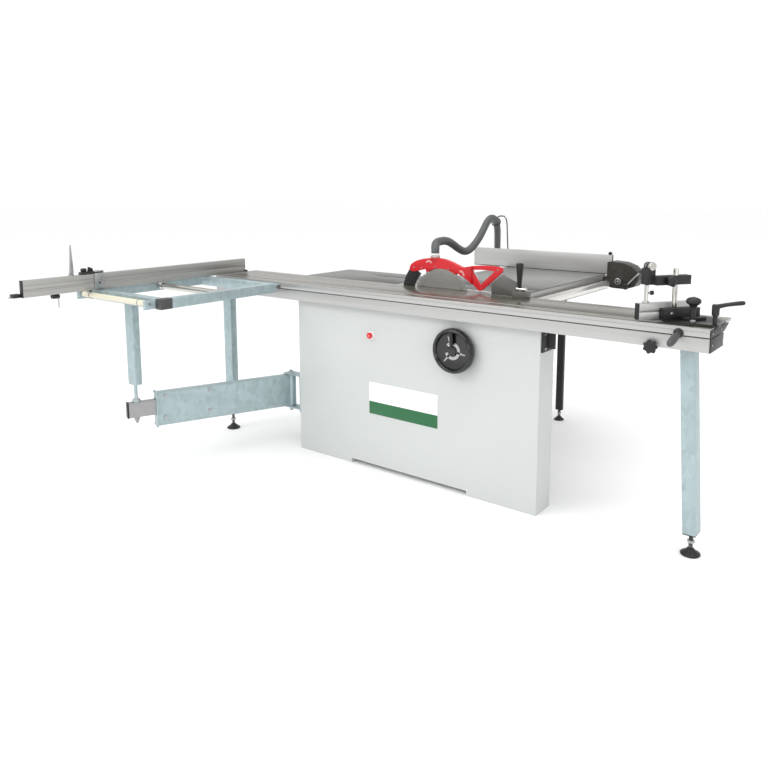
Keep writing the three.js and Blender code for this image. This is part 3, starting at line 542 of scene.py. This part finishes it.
fittings = Piece("cabinet_fittings", "base", "paint_grey")
fittings.turned([(20, 0), (20, 2), (18.5, 3.5), (16, 3.5)], (475, 0, 656), (0, -1, 0), label_white)
fittings.turned([(24, 0), (24, 2.5), (20, 4), (12, 4)], (957, 0, 652), (0, -1, 0), black_plastic_and_shade)
fittings.box(470, 930, 600.3, 603, 110, 690, powder, 1)
for i in range(9):
    fittings.prism(
        "x",
        [(603, 560 + i * 12), (606.5, 556 + i * 12), (606.5, 558 + i * 12), (603, 568 + i * 12)],
        560,
        840,
        powder,
        0.3,
    )
for x in (485, 915):
    for z in (125, 400, 675):
        fittings.screw((x, 603, z), (0, 1, 0), 5, steel)
fittings.turned([(14, 0), (14, 3), (11, 5)], (890, 603, 520), (0, 1, 0), black_plastic_and_shade)
fittings.turned([(30.5, 0), (30.5, 5), (26.5, 6)], (300, 600.3, 430), (0, 1, 0), black_plastic_and_shade)
for y in (180, 540):
    for z in (60, 420, 780):
        fittings.screw((119.9, y, z), (-1, 0, 0), 5, steel)
fittings.done()

button = Piece("stop_button_cap", "stop_button", "red_plastic", ("stop_button",))
button.turned(
    [(6, -12), (6, 5), (12.5, 6), (14.2, 9), (15, 13), (13.5, 16), (9, 17.8), (3, 18)],
    (475, 0, 656),
    (0, -1, 0),
    red,
)
button.turned([(5, 0), (4.4, 0.5)], (475, -17.9, 656), (0, -1, 0), pale_print, 3)
button.done()


def handwheel(name, node, base, axis, radius, look, ring):
    """A dished wheel with a round rim, a hub, and a bright ring in its dish crossed by three radial strips
    of painted highlight.
    """
    body = BODY_OF[node]
    piece = Piece(name, body, "black_plastic", (node,))
    r = radius
    piece.turned(
        [
            (8, -30), (8, 9), (20, 9), (22, 12), (22, 27), (r - 20, 28), (r - 17, 24),
            (r - 15, 14), (r - 9, 11.5), (r - 4, 14), (r - 1, 20), (r, 28), (r - 0.5, 38),
            (r - 2.5, 46), (r - 6, 51.5), (r - 10, 53.8), (r - 14, 53), (r - 17.5, 49),
            (r - 20, 43), (r - 22.5, 39), (r - 27, 37.6), (24, 37.6), (22.5, 39), (20.5, 43),
            (18, 43.9), (6, 44),
        ],
        base,
        axis,
        look,
        72,
    )
    direction = Vector(axis)
    turn = direction.to_track_quat("Z", "Y").to_matrix()

    def on_dish(u, v, h):
        return tuple(turn @ Vector((u, v, h)) + Vector(base))

    inner, outer, low, high = 0.25 * r, 0.39 * r, 37.4, 38.8
    ringed = []
    for i in range(33):
        a = math.radians(ring + 300 * i / 32)
        c, s = math.cos(a), math.sin(a)
        ringed.append(
            [on_dish(q * c, q * s, h) for q, h in ((inner, low), (outer, low), (outer, high), (inner, high))]
        )
    piece.hull(ringed, steel, bevel=0)
    # Three radial steel strips across the dish: painted highlight.
    for k in range(3):
        a = math.radians(ring + 30 + 120 * k)
        c, s = math.cos(a), math.sin(a)
        spoke_highlight = []
        for q, half in ((0.24 * r, 5.0), (0.66 * r, 2.2)):
            spoke_highlight.append(
                [
                    on_dish(q * c - d * s, q * s + d * c, h)
                    for d, h in ((-half, low), (half, low), (half, high), (-half, high))
                ]
            )
        piece.hull(spoke_highlight, steel)
    return piece.done()


handwheel("height_wheel", "height_handwheel", (957, 0, 652), (0, -1, 0), 100, gloss_black, 200)
handwheel("tilt_wheel", "tilt_handwheel", (1000, 350, 560), (1, 0, 0), 80, gloss_black, 60)
handle = Piece("folding_handle", "wheel_handle", "black_plastic", ("handwheel_handle",))
handle.turned(
    [(5, 0), (7.8, 1.5), (8.8, 6), (8.9, 16), (8, 30), (6.6, 40), (6, 44), (6.2, 48), (4, 49.6)],
    (957, -47.5, 678.2),
    (0, 0, 1),
    black_plastic_and_shade,
)
handle.done()

# ------------------------------------------------------------------ tables
refined("cast_iron_table", iron_raw, iron_top, 1.0)
refined("table_insert", alu_x, alu_x, 0.4)
refined("table_extension", iron_raw, plate_top, 1.0)
refined("scale_rail", alu_y, alu_y, 0.8)
# The rail bar takes the lighter chrome copy, whose extra brightness is painted highlight.
refined("rail_bar", chrome_painted_highlight, bevel=0.8)
refined("table_beam", alu_x, alu_x, 1.2)
refined("beam_end_cap", black_plastic_and_shade, bevel=1.0)
refined("table_end_cap", black_plastic_and_shade, bevel=1.0)
refined("beam_bracket", black_paint, bevel=1.5)
refined("right_leg", galvanised, bevel=3.5, segments=3)
refined("left_leg", galvanised, bevel=3.5, segments=3)

details = Piece("fixed_details", "base", "steel")
for x in (470, 560, 700, 850, 940):
    details.turned([(5, 0), (4.4, 0.4)], (x, 300, 870.0), (0, 0, 1), dark_steel_and_groove_shade, 20)
for z in (705, 765):
    for y in (28, 98):
        details.bolt((1358, y, z), (1, 0, 0), 6, steel)
for y in (-18, 112):
    details.screw((2005, y, 810), (1, 0, 0), 4, steel)
for x, y, w, d in ((1900, 57, 44, 46), (-532, 0, 40, 30)):
    details.box(x - w, x + w, y - d + 5, y + d, 781.2, 784.5, black_paint, 0.6)
for z in (204, 382):
    details.bolt((-90, 25, 392 if z > 300 else 188), (0, 0, 1 if z > 300 else -1), 9, steel)
    for dy in (-12, 24):
        details.bolt((-7, 25 + dy, z + (12 if z > 300 else -8)), (-1, 0, 0), 5, steel)
for i in range(104):
    long = i % 10 == 0
    reach = 9 if long else (6.5 if i % 5 == 0 else 4)
    y = 262 + i * 10
    details.box(1112 - reach, 1111.6, y - 0.25, y + 0.25, 866.0, 866.25, black_plastic_and_shade, 0)
details.done()


def foot(name, node, x, y, rod_top, pad):
    """A levelling foot: dished pad, ball joint, threaded rod and lock nut."""
    piece = Piece(name, "base", "black_metal", (node,))
    piece.turned(
        [
            (pad * 0.96, 0), (pad, 1.5), (pad, 5), (pad * 0.93, 7.5), (pad * 0.7, 12),
            (pad * 0.45, 19), (pad * 0.36, 24), (pad * 0.25, 27), (6, 28),
        ],
        (x, y, 0),
        (0, 0, 1),
        black_plastic_and_shade,
        48,
    )
    piece.thread(x, y, 27, rod_top, 7.6, dark_steel_and_groove_shade)
    piece.turned([(13, 0), (14, 1), (14, 10), (13, 11)], (x, y, 46), (0, 0, 1), steel, 6)
    return piece


right = foot("right_levelling_foot", "right_foot", 1955, 57, 149, 36)
right.box(1932, 1978, 22.5, 91.5, 84, 87, black_plastic_and_shade, 0.6)
right.done()
left = foot("left_levelling_foot", "left_foot", -532, 0, 159, 36)
left.box(-561, -503, -19, 19, 103, 106, black_plastic_and_shade, 0.6)
left.done()
back_leg = Piece("extension_leg_form", "base", "black_metal", ("extension_leg",))
back_leg.box(850, 890, 1239, 1265, 60, 835, black_paint, 3)
back_leg.box(838, 902, 1228, 1276, 835, 839.4, black_paint, 0.8)
back_leg.thread(870, 1252, 24, 62, 7.6, dark_steel_and_groove_shade)
back_leg.turned(
    [(27, 0), (28, 1.2), (28, 5), (25, 7), (13, 18), (9, 24), (5, 25)], (870, 1252, 0), (0, 0, 1), black_plastic_and_shade
)
back_leg.turned([(12, 0), (12, 9)], (870, 1252, 36), (0, 0, 1), steel, 6)
back_leg.done()

lock = Piece("beam_lock_knob", "lock_knob", "black_plastic", ("table_lock_knob",))
lock.star((1808, -54.6, 789), (0, -1, 0), 26.5, 7, 19, black_plastic_and_shade)
lock.rod((1808, -38.6, 789), (1808, -55, 789), 9, black_plastic_and_shade)
lock.done()

refined("sliding_table", alu_x, table_top, 0.8)
slide = Piece("slide_details", "table", "aluminium")
for y in (-17, 95):
    slide.screw((2005, y, 852), (1, 0, 0), 4, steel)
# Thin dark lines along the table top: painted shade in its slots.
for y0, y1 in ((58, 59.2), (96, 97.2), (140, 141.2), (178, 179.2), (205, 206)):
    slide.box(-590.5, 2000.5, y0, y1, 869.9, 870.12, dark_steel_and_groove_shade, 0)
# Two thin dark lines along the table's front face: painted shade in its grooves.
slide.box(-590, 2000, -40.25, -39.9, 838.0, 839.2, black_plastic_and_shade, 0)
slide.box(-590, 2000, -40.25, -39.9, 856.4, 857.0, dark_steel_and_groove_shade, 0)
slide.done()

grip = Piece("push_grip_form", "table", "grip_grey", ("push_grip",))
grip.turned([(17, 0), (17.6, 2), (17, 7), (12, 10), (9, 12)], (1897, -40.3, 846), (0, -1, 0), black_plastic_and_shade)
droop = math.radians(14)
grip.turned(
    [(9, 9), (9.6, 16), (11.6, 28), (13.2, 44), (13.7, 62), (13.6, 80), (12, 94), (8.5, 103), (4, 107.6)],
    (1897, -40.3, 846),
    (0, -math.cos(droop), -math.sin(droop)),
    grip_rubber,
    48,
)
grip.done()

# ------------------------------------------------------------------ outrigger and swing arm
refined("outrigger_frame", galvanised, bevel=2.2, segments=3)
refined("outrigger_post", galvanised, bevel=3, segments=3)
refined("arm_bracket", galvanised, bevel=1.5)
refined("swing_arm", galvanised, bevel=2.0)
refined("arm_inner_beam", alu_arm, bevel=1.5)


def roller(name, node, y, x0, x1, radius, look, joints=()):
    piece = Piece(name, BODY_OF[node], SLOT_OF[node], (node,))
    piece.turned(
        [(radius - 2, 0), (radius, 2), (radius, x1 - x0 - 2), (radius - 2, x1 - x0)],
        (x0, y, 850),
        (1, 0, 0),
        look,
        40,
    )
    for x, side in ((x0, -1), (x1, 1)):
        piece.turned([(radius - 3, 0), (radius - 4, 2.5), (8, 3)], (x, y, 850), (side, 0, 0), black_plastic_and_shade, 32)
        piece.rod((x, y, 850), (x + side * 5.8, y, 850), 6, steel)
    for x in joints:
        piece.turned([(radius + 0.4, 0), (radius + 0.4, 4)], (x, y, 850), (1, 0, 0), dark_steel_and_groove_shade, 40)
    return piece.done()


roller("outer_roller_form", "outer_roller", -800, -621, -118.5, 13, cream, (-560, -180))
roller("middle_roller_form", "middle_roller", -400, -593.5, -106.5, 16, chrome, (-560,))

support = Piece("outrigger_details", "table", "galvanised")
for x in (-100.6, -640.6):
    support.box(x, x + 41.2, -770.6, -712, 824.4, 870.5, grip_rubber, 1.2)
for x in (-580, -120):
    support.bolt((x, -60, 858), (0, 0, 1), 5, steel)
for x in (-634, -106):
    support.bolt((x + (12 if x > -300 else -6), -800, 850), (1 if x > -300 else -1, 0, 0), 6, steel)
support.box(-600, -90, -68, -40.6, 838.5, 856, alu_x, 1.0)
support.thread(-395, -698, 352, 428, 8.0, dark_steel_and_groove_shade)
support.turned([(19, 0), (19, 5), (17, 8), (12, 14)], (-395, -698, 345), (0, 0, 1), steel, 6)
support.done()


def along_arm(s, across, z):
    """A point s out from the swing arm's pivot and across its width, at height z."""
    turn = math.radians(-22.9)
    return (
        -90 + math.sin(turn) * s + math.cos(turn) * across,
        25 - math.cos(turn) * s + math.sin(turn) * across,
        z,
    )


def arm_direction(outward, across):
    tip, root = Vector(along_arm(outward, across, 0)), Vector(along_arm(0, 0, 0))
    return tuple(tip - root)


arm = Piece("arm_bolts", "swing_arm", "galvanised")
for s in (655, 440):
    for z in (355.5, 252.5):
        for side in (1, -1):
            arm.bolt(along_arm(s, side * 26.6, z), arm_direction(0, side), 8, steel)
arm.turned([(26.4, 0), (26.4, 3), (24, 4)], (-90, 25, 374.4), (0, 0, 1), steel)
arm.turned([(26.4, 0), (26.4, 3), (24, 4)], (-90, 25, 208.6), (0, 0, 1), steel)
for side in (1, -1):
    for z in (214, 373):
        arm.bolt(along_arm(698, side * 23, z), arm_direction(1, 0), 4.5, steel, False)
arm.done()
beam_end = Piece("arm_beam_cap", "arm_beam", "black_plastic")
cap = [
    [along_arm(s, a, z) for a, z in ((-18.5, 267), (18.5, 267), (18.5, 341), (-18.5, 341))]
    for s in (822, 830)
]
beam_end.hull(cap, black_plastic_and_shade, bevel=1.2)
beam_end.done()

# ------------------------------------------------------------------ crosscut fence
refined("crosscut_fence", alu_y, alu_y, 0.7)
refined("flip_stop", steel, bevel=0.8)
fence = Piece("crosscut_details", "crosscut", "black_plastic")
for y0, y1 in ((-1119, -1115.2), (135.2, 139)):
    fence.box(-579, -555, y0, y1, 873, 948, black_plastic_and_shade, 1)
fence.box(-603, -567, -1152, -1119.5, 874, 890, black_plastic_and_shade, 2)
fence.box(-585, -549, 139, 153, 873.5, 884, black_plastic_and_shade, 2)
# Two thin dark lines along the fence face: painted shade in its grooves.
fence.box(-554.98, -554.75, -1114, 134, 899, 899.8, dark_steel_and_groove_shade, 0)
fence.box(-554.98, -554.75, -1114, 134, 925, 925.8, dark_steel_and_groove_shade, 0)
fence.rod((-588, -942, 873), (-588, -942, 806), 2.5, steel)
fence.turned([(10, 0), (10, 4), (7, 6)], (-562, -890, 948.1), (0, 0, 1), steel)
for i in range(118):
    reach = 6 if i % 10 == 0 else 3.5
    y = -1105 + i * 10
    fence.box(-560 - reach, -560, y - 0.25, y + 0.25, 948.0, 948.2, black_plastic_and_shade, 0)
fence.done()
stop = Piece("length_stop_form", "length_stop", "dark_casting", ("length_stop",))
stop.box(-554.6, -549, -782, -735, 877, 962, steel, 1.5)
stop.box(-585, -549, -842, -735, 948.5, 960, casting, 3)
stop.box(-585, -579.6, -842, -735, 905, 956, casting, 1.5)
stop.star((-569, -824, 960), (0, 0, 1), 14, 5, 16, black_plastic_and_shade)
stop.prism("x", [(-804, 959), (-776, 959), (-778, 973), (-800, 982)], -575, -569, black_plastic_and_shade, 1.2)
stop.screw((-549, -758, 905), (1, 0, 0), 6, dark_steel_and_groove_shade)
stop.done()
clamp_knob = Piece("fence_clamp_form", "fence_clamp", "black_plastic", ("fence_clamp_knob",))
clamp_knob.star((-591, -955, 868.5), (0, 0, -1), 20, 6, 19, black_plastic_and_shade)
clamp_knob.rod((-591, -955, 872.4), (-591, -955, 866), 7, steel)
clamp_knob.done()

# ------------------------------------------------------------------ mitre fence and clamp
MITRE_X, MITRE_Y, MITRE_TURN = 1754, -36, math.radians(55)


def on_mitre(x, y, z):
    """A point given along and across the mitre fence."""
    c, s = math.cos(MITRE_TURN), math.sin(MITRE_TURN)
    return (MITRE_X + x * c - y * s, MITRE_Y + x * s + y * c, z)


def mitre_box(piece, x0, x1, y0, y1, z0, z1, look, bevel=0.8):
    ring = [(x0, y0), (x1, y0), (x1, y1), (x0, y1)]
    return piece.hull([[on_mitre(x, y, z) for x, y in ring] for z in (z0, z1)], look, bevel=bevel)


sector = Piece("mitre_scale", "mitre_slider", "dark_casting", ("mitre_base",))
disc = [(111, 0), (112, 0.6), (112, 3.2), (111.2, 3.9), (104, 4.0)]
sector.turned(disc, (1903, 95, 870.4), (0, 0, 1), black_paint, 96)
for i in range(0, 181, 5):
    a = math.radians(-60 + i)
    inner = 96 if i % 15 == 0 else 101
    c, s = math.cos(a), math.sin(a)
    tick = [(inner, -0.45), (108, -0.45), (108, 0.45), (inner, 0.45)]
    ring = [(1903 + r * c - d * s, 95 + r * s + d * c) for r, d in tick]
    sector.prism("z", ring, 874.3, 874.7, label_white, 0)
sector.box(1884, 2016, 0, 40, 870.6, 878.3, casting, 1.5)
sector.box(1890, 1996, 14.2, 25.8, 865.1, 871, steel, 0.5)
sector.turned([(14, 0), (14, 3), (11, 4)], (1903, 95, 874.3), (0, 0, 1), steel)
sector.done()
mushroom = Piece("mitre_knob_form", "mitre_knob", "black_plastic", ("mitre_knob",))
mushroom.turned([(11, 0), (11, 4), (9, 5.5), (8, 12)], (1925, 20, 879.2), (0, 0, 1), steel)
mushroom.turned(
    [
        (8.5, 9), (10, 12), (9, 20), (8.6, 40), (9.6, 52), (14, 60), (21, 65), (25.2, 70),
        (26, 74), (25.4, 78), (22, 83), (14, 87), (5, 89.4),
    ],
    (1925, 20, 879),
    (0, 0, 1),
    black_plastic_and_shade,
    48,
)
mushroom.done()
ratchet = Piece("ratchet_lever_form", "ratchet", "black_plastic", ("ratchet_lever",))
ratchet.turned(
    [(8, 0), (8, 28), (11, 31), (12.6, 34), (13, 62), (12, 68), (8, 71)], (2000, 20, 879), (0, 0, 1), black_plastic_and_shade
)
ratchet.turned([(7, 0), (6, 1.2)], (2000, 20, 949.6), (0, 0, 1), steel, 6)
ratchet.sweep(
    [
        (1996, 20, 938),
        (2012, 20, 944),
        (2034, 20, 951),
        (2056, 20, 956),
        (2078, 20, 960.5),
        (2090, 20, 962.5),
        (2093, 20, 963),
    ],
    [8, 8, 7, 7.2, 7.8, 7, 3],
    black_plastic_and_shade,
    20,
)
ratchet.done()
refined("mitre_fence", alu_x, alu_x, 0.8)
mitre = Piece("mitre_details", "mitre_arm", "black_plastic")
mitre_box(mitre, -4.5, -0.3, 0, 22, 875, 935, black_plastic_and_shade, 1)
mitre_box(mitre, 84, 236, -35, -0.3, 875.5, 915.6, black_paint, 1.5)
mitre_box(mitre, 149, 236, -71, -32, 874.8, 885.8, black_paint, 1.5)
mitre.screw(on_mitre(112, -35, 898), (math.sin(MITRE_TURN), -math.cos(MITRE_TURN), 0), 6, steel)
mitre.screw(on_mitre(205, -35, 898), (math.sin(MITRE_TURN), -math.cos(MITRE_TURN), 0), 6, steel)
# A thin dark line along the mitre fence's face: painted shade in its groove.
mitre_box(mitre, 0.2, 229.8, -0.35, 0.1, 905, 906, dark_steel_and_groove_shade, 0)
mitre.done()
refined("clamp_pillar", chrome, bevel=1.5)
refined("clamp_arm", black_paint, bevel=4, segments=3)
refined("clamp_plunger", chrome, bevel=1.5)
ring_piece = Piece("clamp_ring", "clamp_arm", "steel")
across = (-math.sin(MITRE_TURN), math.cos(MITRE_TURN), 0)
ring_piece.turned(
    [(12, 0), (14.5, 1.5), (14.5, 5), (11, 6), (6, 6)],
    on_mitre(42, 21.5, 1068),
    across,
    chrome,
)
ring_piece.turned(
    [(16.3, -22), (16.3, -19), (15, -18), (15, -8), (16.3, -7), (16.3, -2), (14, 2), (8, 3)],
    on_mitre(42, -8, 1068),
    tuple(-a for a in across),
    chrome,
    28,
)
ring_piece.turned(
    [(6, 0), (8, 2), (8, 10), (5, 12)],
    on_mitre(46, 4, 972),
    (math.cos(MITRE_TURN), math.sin(MITRE_TURN), 0),
    black_plastic_and_shade,
)
ring_piece.rod(on_mitre(37, 6, 972), on_mitre(48, 4, 972), 3, steel)
ring_piece.done()
small_knob = Piece("clamp_knob_form", "clamp_knob", "black_plastic", ("clamp_knob",))
small_knob.star(on_mitre(94, -41.6, 1018), tuple(-a for a in across), 20.5, 5, 17, black_plastic_and_shade)
small_knob.rod(on_mitre(94, -33.6, 1018), on_mitre(94, -42, 1018), 6, steel)
small_knob.done()

# ------------------------------------------------------------------ edging shoe
refined("edging_shoe", shoe_grey, bevel=1.2)
shoe = Piece("shoe_details", "edging_shoe", "dark_casting")
shoe.rod((1124, 216, 908), (1170, 216, 908), 8.3, chrome)
shoe.done()
cone = Piece("shoe_handle_form", "shoe_handle", "black_plastic", ("shoe_handle",))
cone.turned(
    [
        (8, 0.2),
        (9.4, 2),
        (10, 12),
        (11, 30),
        (13.8, 62),
        (16, 88),
        (16.5, 96),
        (16, 102),
        (13, 105.6),
        (5, 106.4),
    ],
    (1137, 216, 916.5),
    (0, 0, 1),
    black_plastic_and_shade,
    44,
)
cone.done()

# ------------------------------------------------------------------ rip fence
refined("fence_head", casting, bevel=7, segments=4)
refined("fence_plate", alu_x, alu_x, 1.0)
head = Piece("fence_head_details", "rip_head", "dark_casting")
head.turned(
    [(17, 0), (17, 4.5), (13, 5.5), (13, 2.5), (7, 2.5), (6, 4.5)],
    (1209, 1194.6, 848),
    (0, -1, 0),
    steel,
)
head.done()
plate = Piece("fence_plate_details", "rip_plate", "black_plastic")
plate.turned([(7, 0), (10, 4), (11, 9), (9, 14), (4, 16)], (1128, 1279, 979.8), (0, 0, 1), black_plastic_and_shade)
for x in (267.0, 1142.0):
    plate.box(
        x - 1.6 if x < 500 else x - 0.2,
        x + 0.2 if x < 500 else x + 1.6,
        1272.3,
        1285.7,
        872.3,
        979.7,
        black_plastic_and_shade,
        0.4,
    )
# A thin black line along the foot of the fence plate: painted shade in its groove.
plate.box(269, 1140, 1271.6, 1272.1, 872.4, 876.5, black_plastic_and_shade, 0)
plate.done()
lever = Piece("fence_lever_form", "rip_lever", "black_plastic", ("fence_lever",))
lever.turned(
    [(12, 0), (15, 1.5), (17, 6), (17, 15), (15, 20), (11, 24)],
    (1255, 1194.4, 825),
    (0, -1, 0),
    black_plastic_and_shade,
)
lever.rod((1258, 1186, 830), (1331, 1186, 910), 4, steel)
lever.turned([(5, 0), (6.5, 3), (6.5, 10), (4, 13)], (1325, 1186, 903.5), (73, 0, 80), black_plastic_and_shade)
lever.done()


# ------------------------------------------------------------------ blades
def toothed(piece, centre, radius, bore, half, teeth, slots, look):
    """A saw blade: hooked teeth with wider tips, expansion slots drawn as thin black strips of painted shade
    on both faces, and a bore.
    """
    outline = []
    gullet = radius * 0.055
    for i in range(teeth):
        a = -2 * math.pi * i / teeth
        step = 2 * math.pi / teeth
        for share, depth in (
            (0.0, 0),
            (0.07, 0),
            (0.5, 0.18),
            (0.74, 0.55),
            (0.86, 1.0),
            (0.95, 0.9),
            (0.985, 0.3),
        ):
            r = radius - gullet * depth
            outline.append((r * math.cos(a - step * share), r * math.sin(a - step * share)))
    ring = [(bore * math.cos(math.atan2(z, x)), bore * math.sin(math.atan2(z, x))) for x, z in outline]
    x0, y0, z0 = centre
    rings = []
    for loop, h in ((ring, -half), (outline, -half), (outline, half), (ring, half)):
        rings.append([(x0 + x, y0 + h, z0 + z) for x, z in loop])
    piece.hull(rings, look, closed=True)
    step = 2 * math.pi / teeth
    for i in range(teeth):
        a = 2 * math.pi * i / teeth
        tip = []
        for r, t in (
            (radius - 0.1, 0.01),
            (radius - 0.1, -0.16 * step),
            (radius - gullet * 0.75, -0.1 * step),
            (radius - gullet * 0.75, 0.01),
        ):
            tip.append((x0 + r * math.cos(a + t), z0 + r * math.sin(a + t)))
        wide = half + 0.35
        piece.hull([[(x, y0 + w, z) for x, z in tip] for w in (-wide, wide)], steel)
    # Each expansion slot is a thin black strip on both faces: painted shade where the open slot shows dark.
    for i in range(slots):
        a = 2 * math.pi * (i + 0.5) / slots
        slot_shade = []
        for r, d in ((radius * 0.9, -0.7), (radius * 0.9, 0.7), (radius * 0.72, 0.7), (radius * 0.72, -0.7)):
            slot_shade.append((x0 + r * math.cos(a) - d * math.sin(a), z0 + r * math.sin(a) + d * math.cos(a)))
        for side in (-1, 1):
            levels = sorted((side * (half - 0.2), side * (half + 0.06)))
            piece.hull([[(x, y0 + w, z) for x, z in slot_shade] for w in levels], black_plastic_and_shade)
    return piece


blade = Piece("toothed_blade", "main_spindle", "steel", ("saw_blade",))
toothed(blade, (700, 262, 812.5), 157.4, 15, 1.1, 48, 6, blade_steel)
blade.done()
scorer = Piece("toothed_scorer", "scoring_spindle", "steel", ("scoring_blade",))
toothed(scorer, (911, 262, 827), 44.9, 7, 1.1, 24, 4, scorer_steel)
scorer.rod((911, 254, 827), (911, 322, 827), 8, steel)
scorer.turned([(15, 0), (15, 6), (12, 7)], (911, 261, 827), (0, -1, 0), steel, 6)
scorer.done()
refined("riving_knife", black_paint, bevel=0.4)
refined("arbor", steel, bevel=0.8)
refined("motor_pulley", iron_raw, bevel=1.0)
refined("drive_belt", belt_rubber, bevel=1.0)
refined("lift_carriage", iron_raw, bevel=3)
refined("tilt_trunnion", iron_raw, bevel=3)
refined("motor", machine_grey, bevel=2.5)
fins = Piece("motor_fins", "lift_unit", "machine_grey")
for i in range(28):
    a = 2 * math.pi * i / 28
    c, s = math.cos(a), math.sin(a)
    fin = [(76, -1.5), (86, -1.2), (86, 1.2), (76, 1.5)]
    ring = [(760 + r * c - d * s, 640 + r * s + d * c) for r, d in fin]
    fins.prism("y", ring, 425, 545, machine_grey, 0.4)
fins.done()
refined("roller_carriage", steel, bevel=0.8)

# ------------------------------------------------------------------ blade guard
refined("blade_guard", red, bevel=1.8, segments=3)
guard = Piece("guard_details", "guard", "red_plastic")
for y0, y1 in ((249.5, 256), (268, 274.5)):
    cheek = circle(700, 812.5, 153, 58, 122, 20) + circle(700, 812.5, 169, 122, 58, 20)
    guard.prism("y", cheek, y0, y1, red, 0.8)
for x, z, half in (
    (588, 962, 13),
    (545, 962, 13),
    (668, 972, 13),
    (742, 966, 13),
    (832, 922, 5),
    (1004, 978, 5),
):
    for side in (-1, 1):
        guard.screw((x, 262 + side * half, z), (0, side, 0), 3.6, steel)
for x, z, turn, half in ((632, 986, 90, 13), (812, 948, 50, 13)):
    for radius in (14, 19):
        rings = []
        for u, v in circle(x, z - 4, radius, turn - 62, turn + 62, 14):
            push = Vector((u - x, 0, v - z + 4)).normalized() * 1.3
            y = 262 - half
            rings.append(
                [
                    (u + push.x * k, y + h, v + push.z * k)
                    for k, h in ((-1, -0.25), (1, -0.25), (1, 0.2), (-1, 0.2))
                ]
            )
        guard.hull(rings, pale_print)
SPOUT_FOOT = (660, 262, 1012)
SPOUT_RING = (660, 262, 1028)
guard.turned(
    [(19.6, 0), (21.5, 1), (21.5, 5), (23.5, 6), (23.5, 9), (20, 10), (19.3, 20)],
    SPOUT_FOOT,
    (0, 0, 1),
    chrome,
)
guard.turned([(21.6, 0), (22.4, 1), (22.4, 7), (21.6, 8)], SPOUT_RING, (0, 0, 1), label_white)
guard.done()
refined("hose_holder", dark_steel_and_groove_shade, bevel=0)

# ------------------------------------------------------------------ floor and light
floor_bm = bmesh.new()
bmesh.ops.create_grid(floor_bm, x_segments=1, y_segments=1, size=40)
floor_look = material("floor", (0.96, 0.96, 0.96), 0.85, 0, 0.004, 1.5)
floor = add_object("floor", floor_bm, [floor_look], None)
floor.location.z = -0.0005


def area_light(name, place, target, size, power):
    data = bpy.data.lights.new(name, "AREA")
    data.shape = "RECTANGLE"
    data.size, data.size_y = size
    data.energy = power
    lamp = bpy.data.objects.new(name, data)
    bpy.context.scene.collection.objects.link(lamp)
    lamp.location = place
    lamp.rotation_euler = (Vector(target) - Vector(place)).to_track_quat("-Z", "Y").to_euler()


area_light("key", (-2.5, -5, 4.6), (0.2, 0, 0.6), (3, 2), 100)
area_light("fill", (5, -2.5, 2.5), (0.6, 0, 0.5), (3, 2), 28)
area_light("top", (0.5, 0.5, 5.5), (0.5, 0.4, 0.5), (6, 6), 85)
sun = bpy.data.lights.new("even", "SUN")
sun.energy, sun.angle = 1.0, math.radians(100)
sun_lamp = bpy.data.objects.new("even", sun)
bpy.context.scene.collection.objects.link(sun_lamp)
sun_lamp.rotation_euler = (math.radians(18), math.radians(-8), 0)
bpy.context.scene.view_settings.view_transform = "Standard"
world = bpy.data.worlds.new("studio")
bpy.context.scene.world = world
world.use_nodes = True
sky_nodes, sky_links = world.node_tree.nodes, world.node_tree.links
sky_place = sky_nodes.new("ShaderNodeTexCoord")
sky_split = sky_nodes.new("ShaderNodeSeparateXYZ")
sky_ramp = sky_nodes.new("ShaderNodeValToRGB")
sky_links.new(sky_place.outputs["Generated"], sky_split.inputs[0])
sky_links.new(sky_split.outputs["Z"], sky_ramp.inputs["Fac"])
sky_links.new(sky_ramp.outputs["Color"], sky_nodes["Background"].inputs["Color"])
stops = sky_ramp.color_ramp.elements
stops[0].position, stops[0].color = 0.0, (1, 1, 1, 1)
stops[1].position, stops[1].color = 1.0, (1, 1, 1, 1)
for place_on_ramp, shade in ((0.34, 1.0), (0.5, 0.5), (0.8, 0.6)):
    stops.new(place_on_ramp).color = (shade, shade, shade, 1)
sky_nodes["Background"].inputs["Strength"].default_value = 1.03
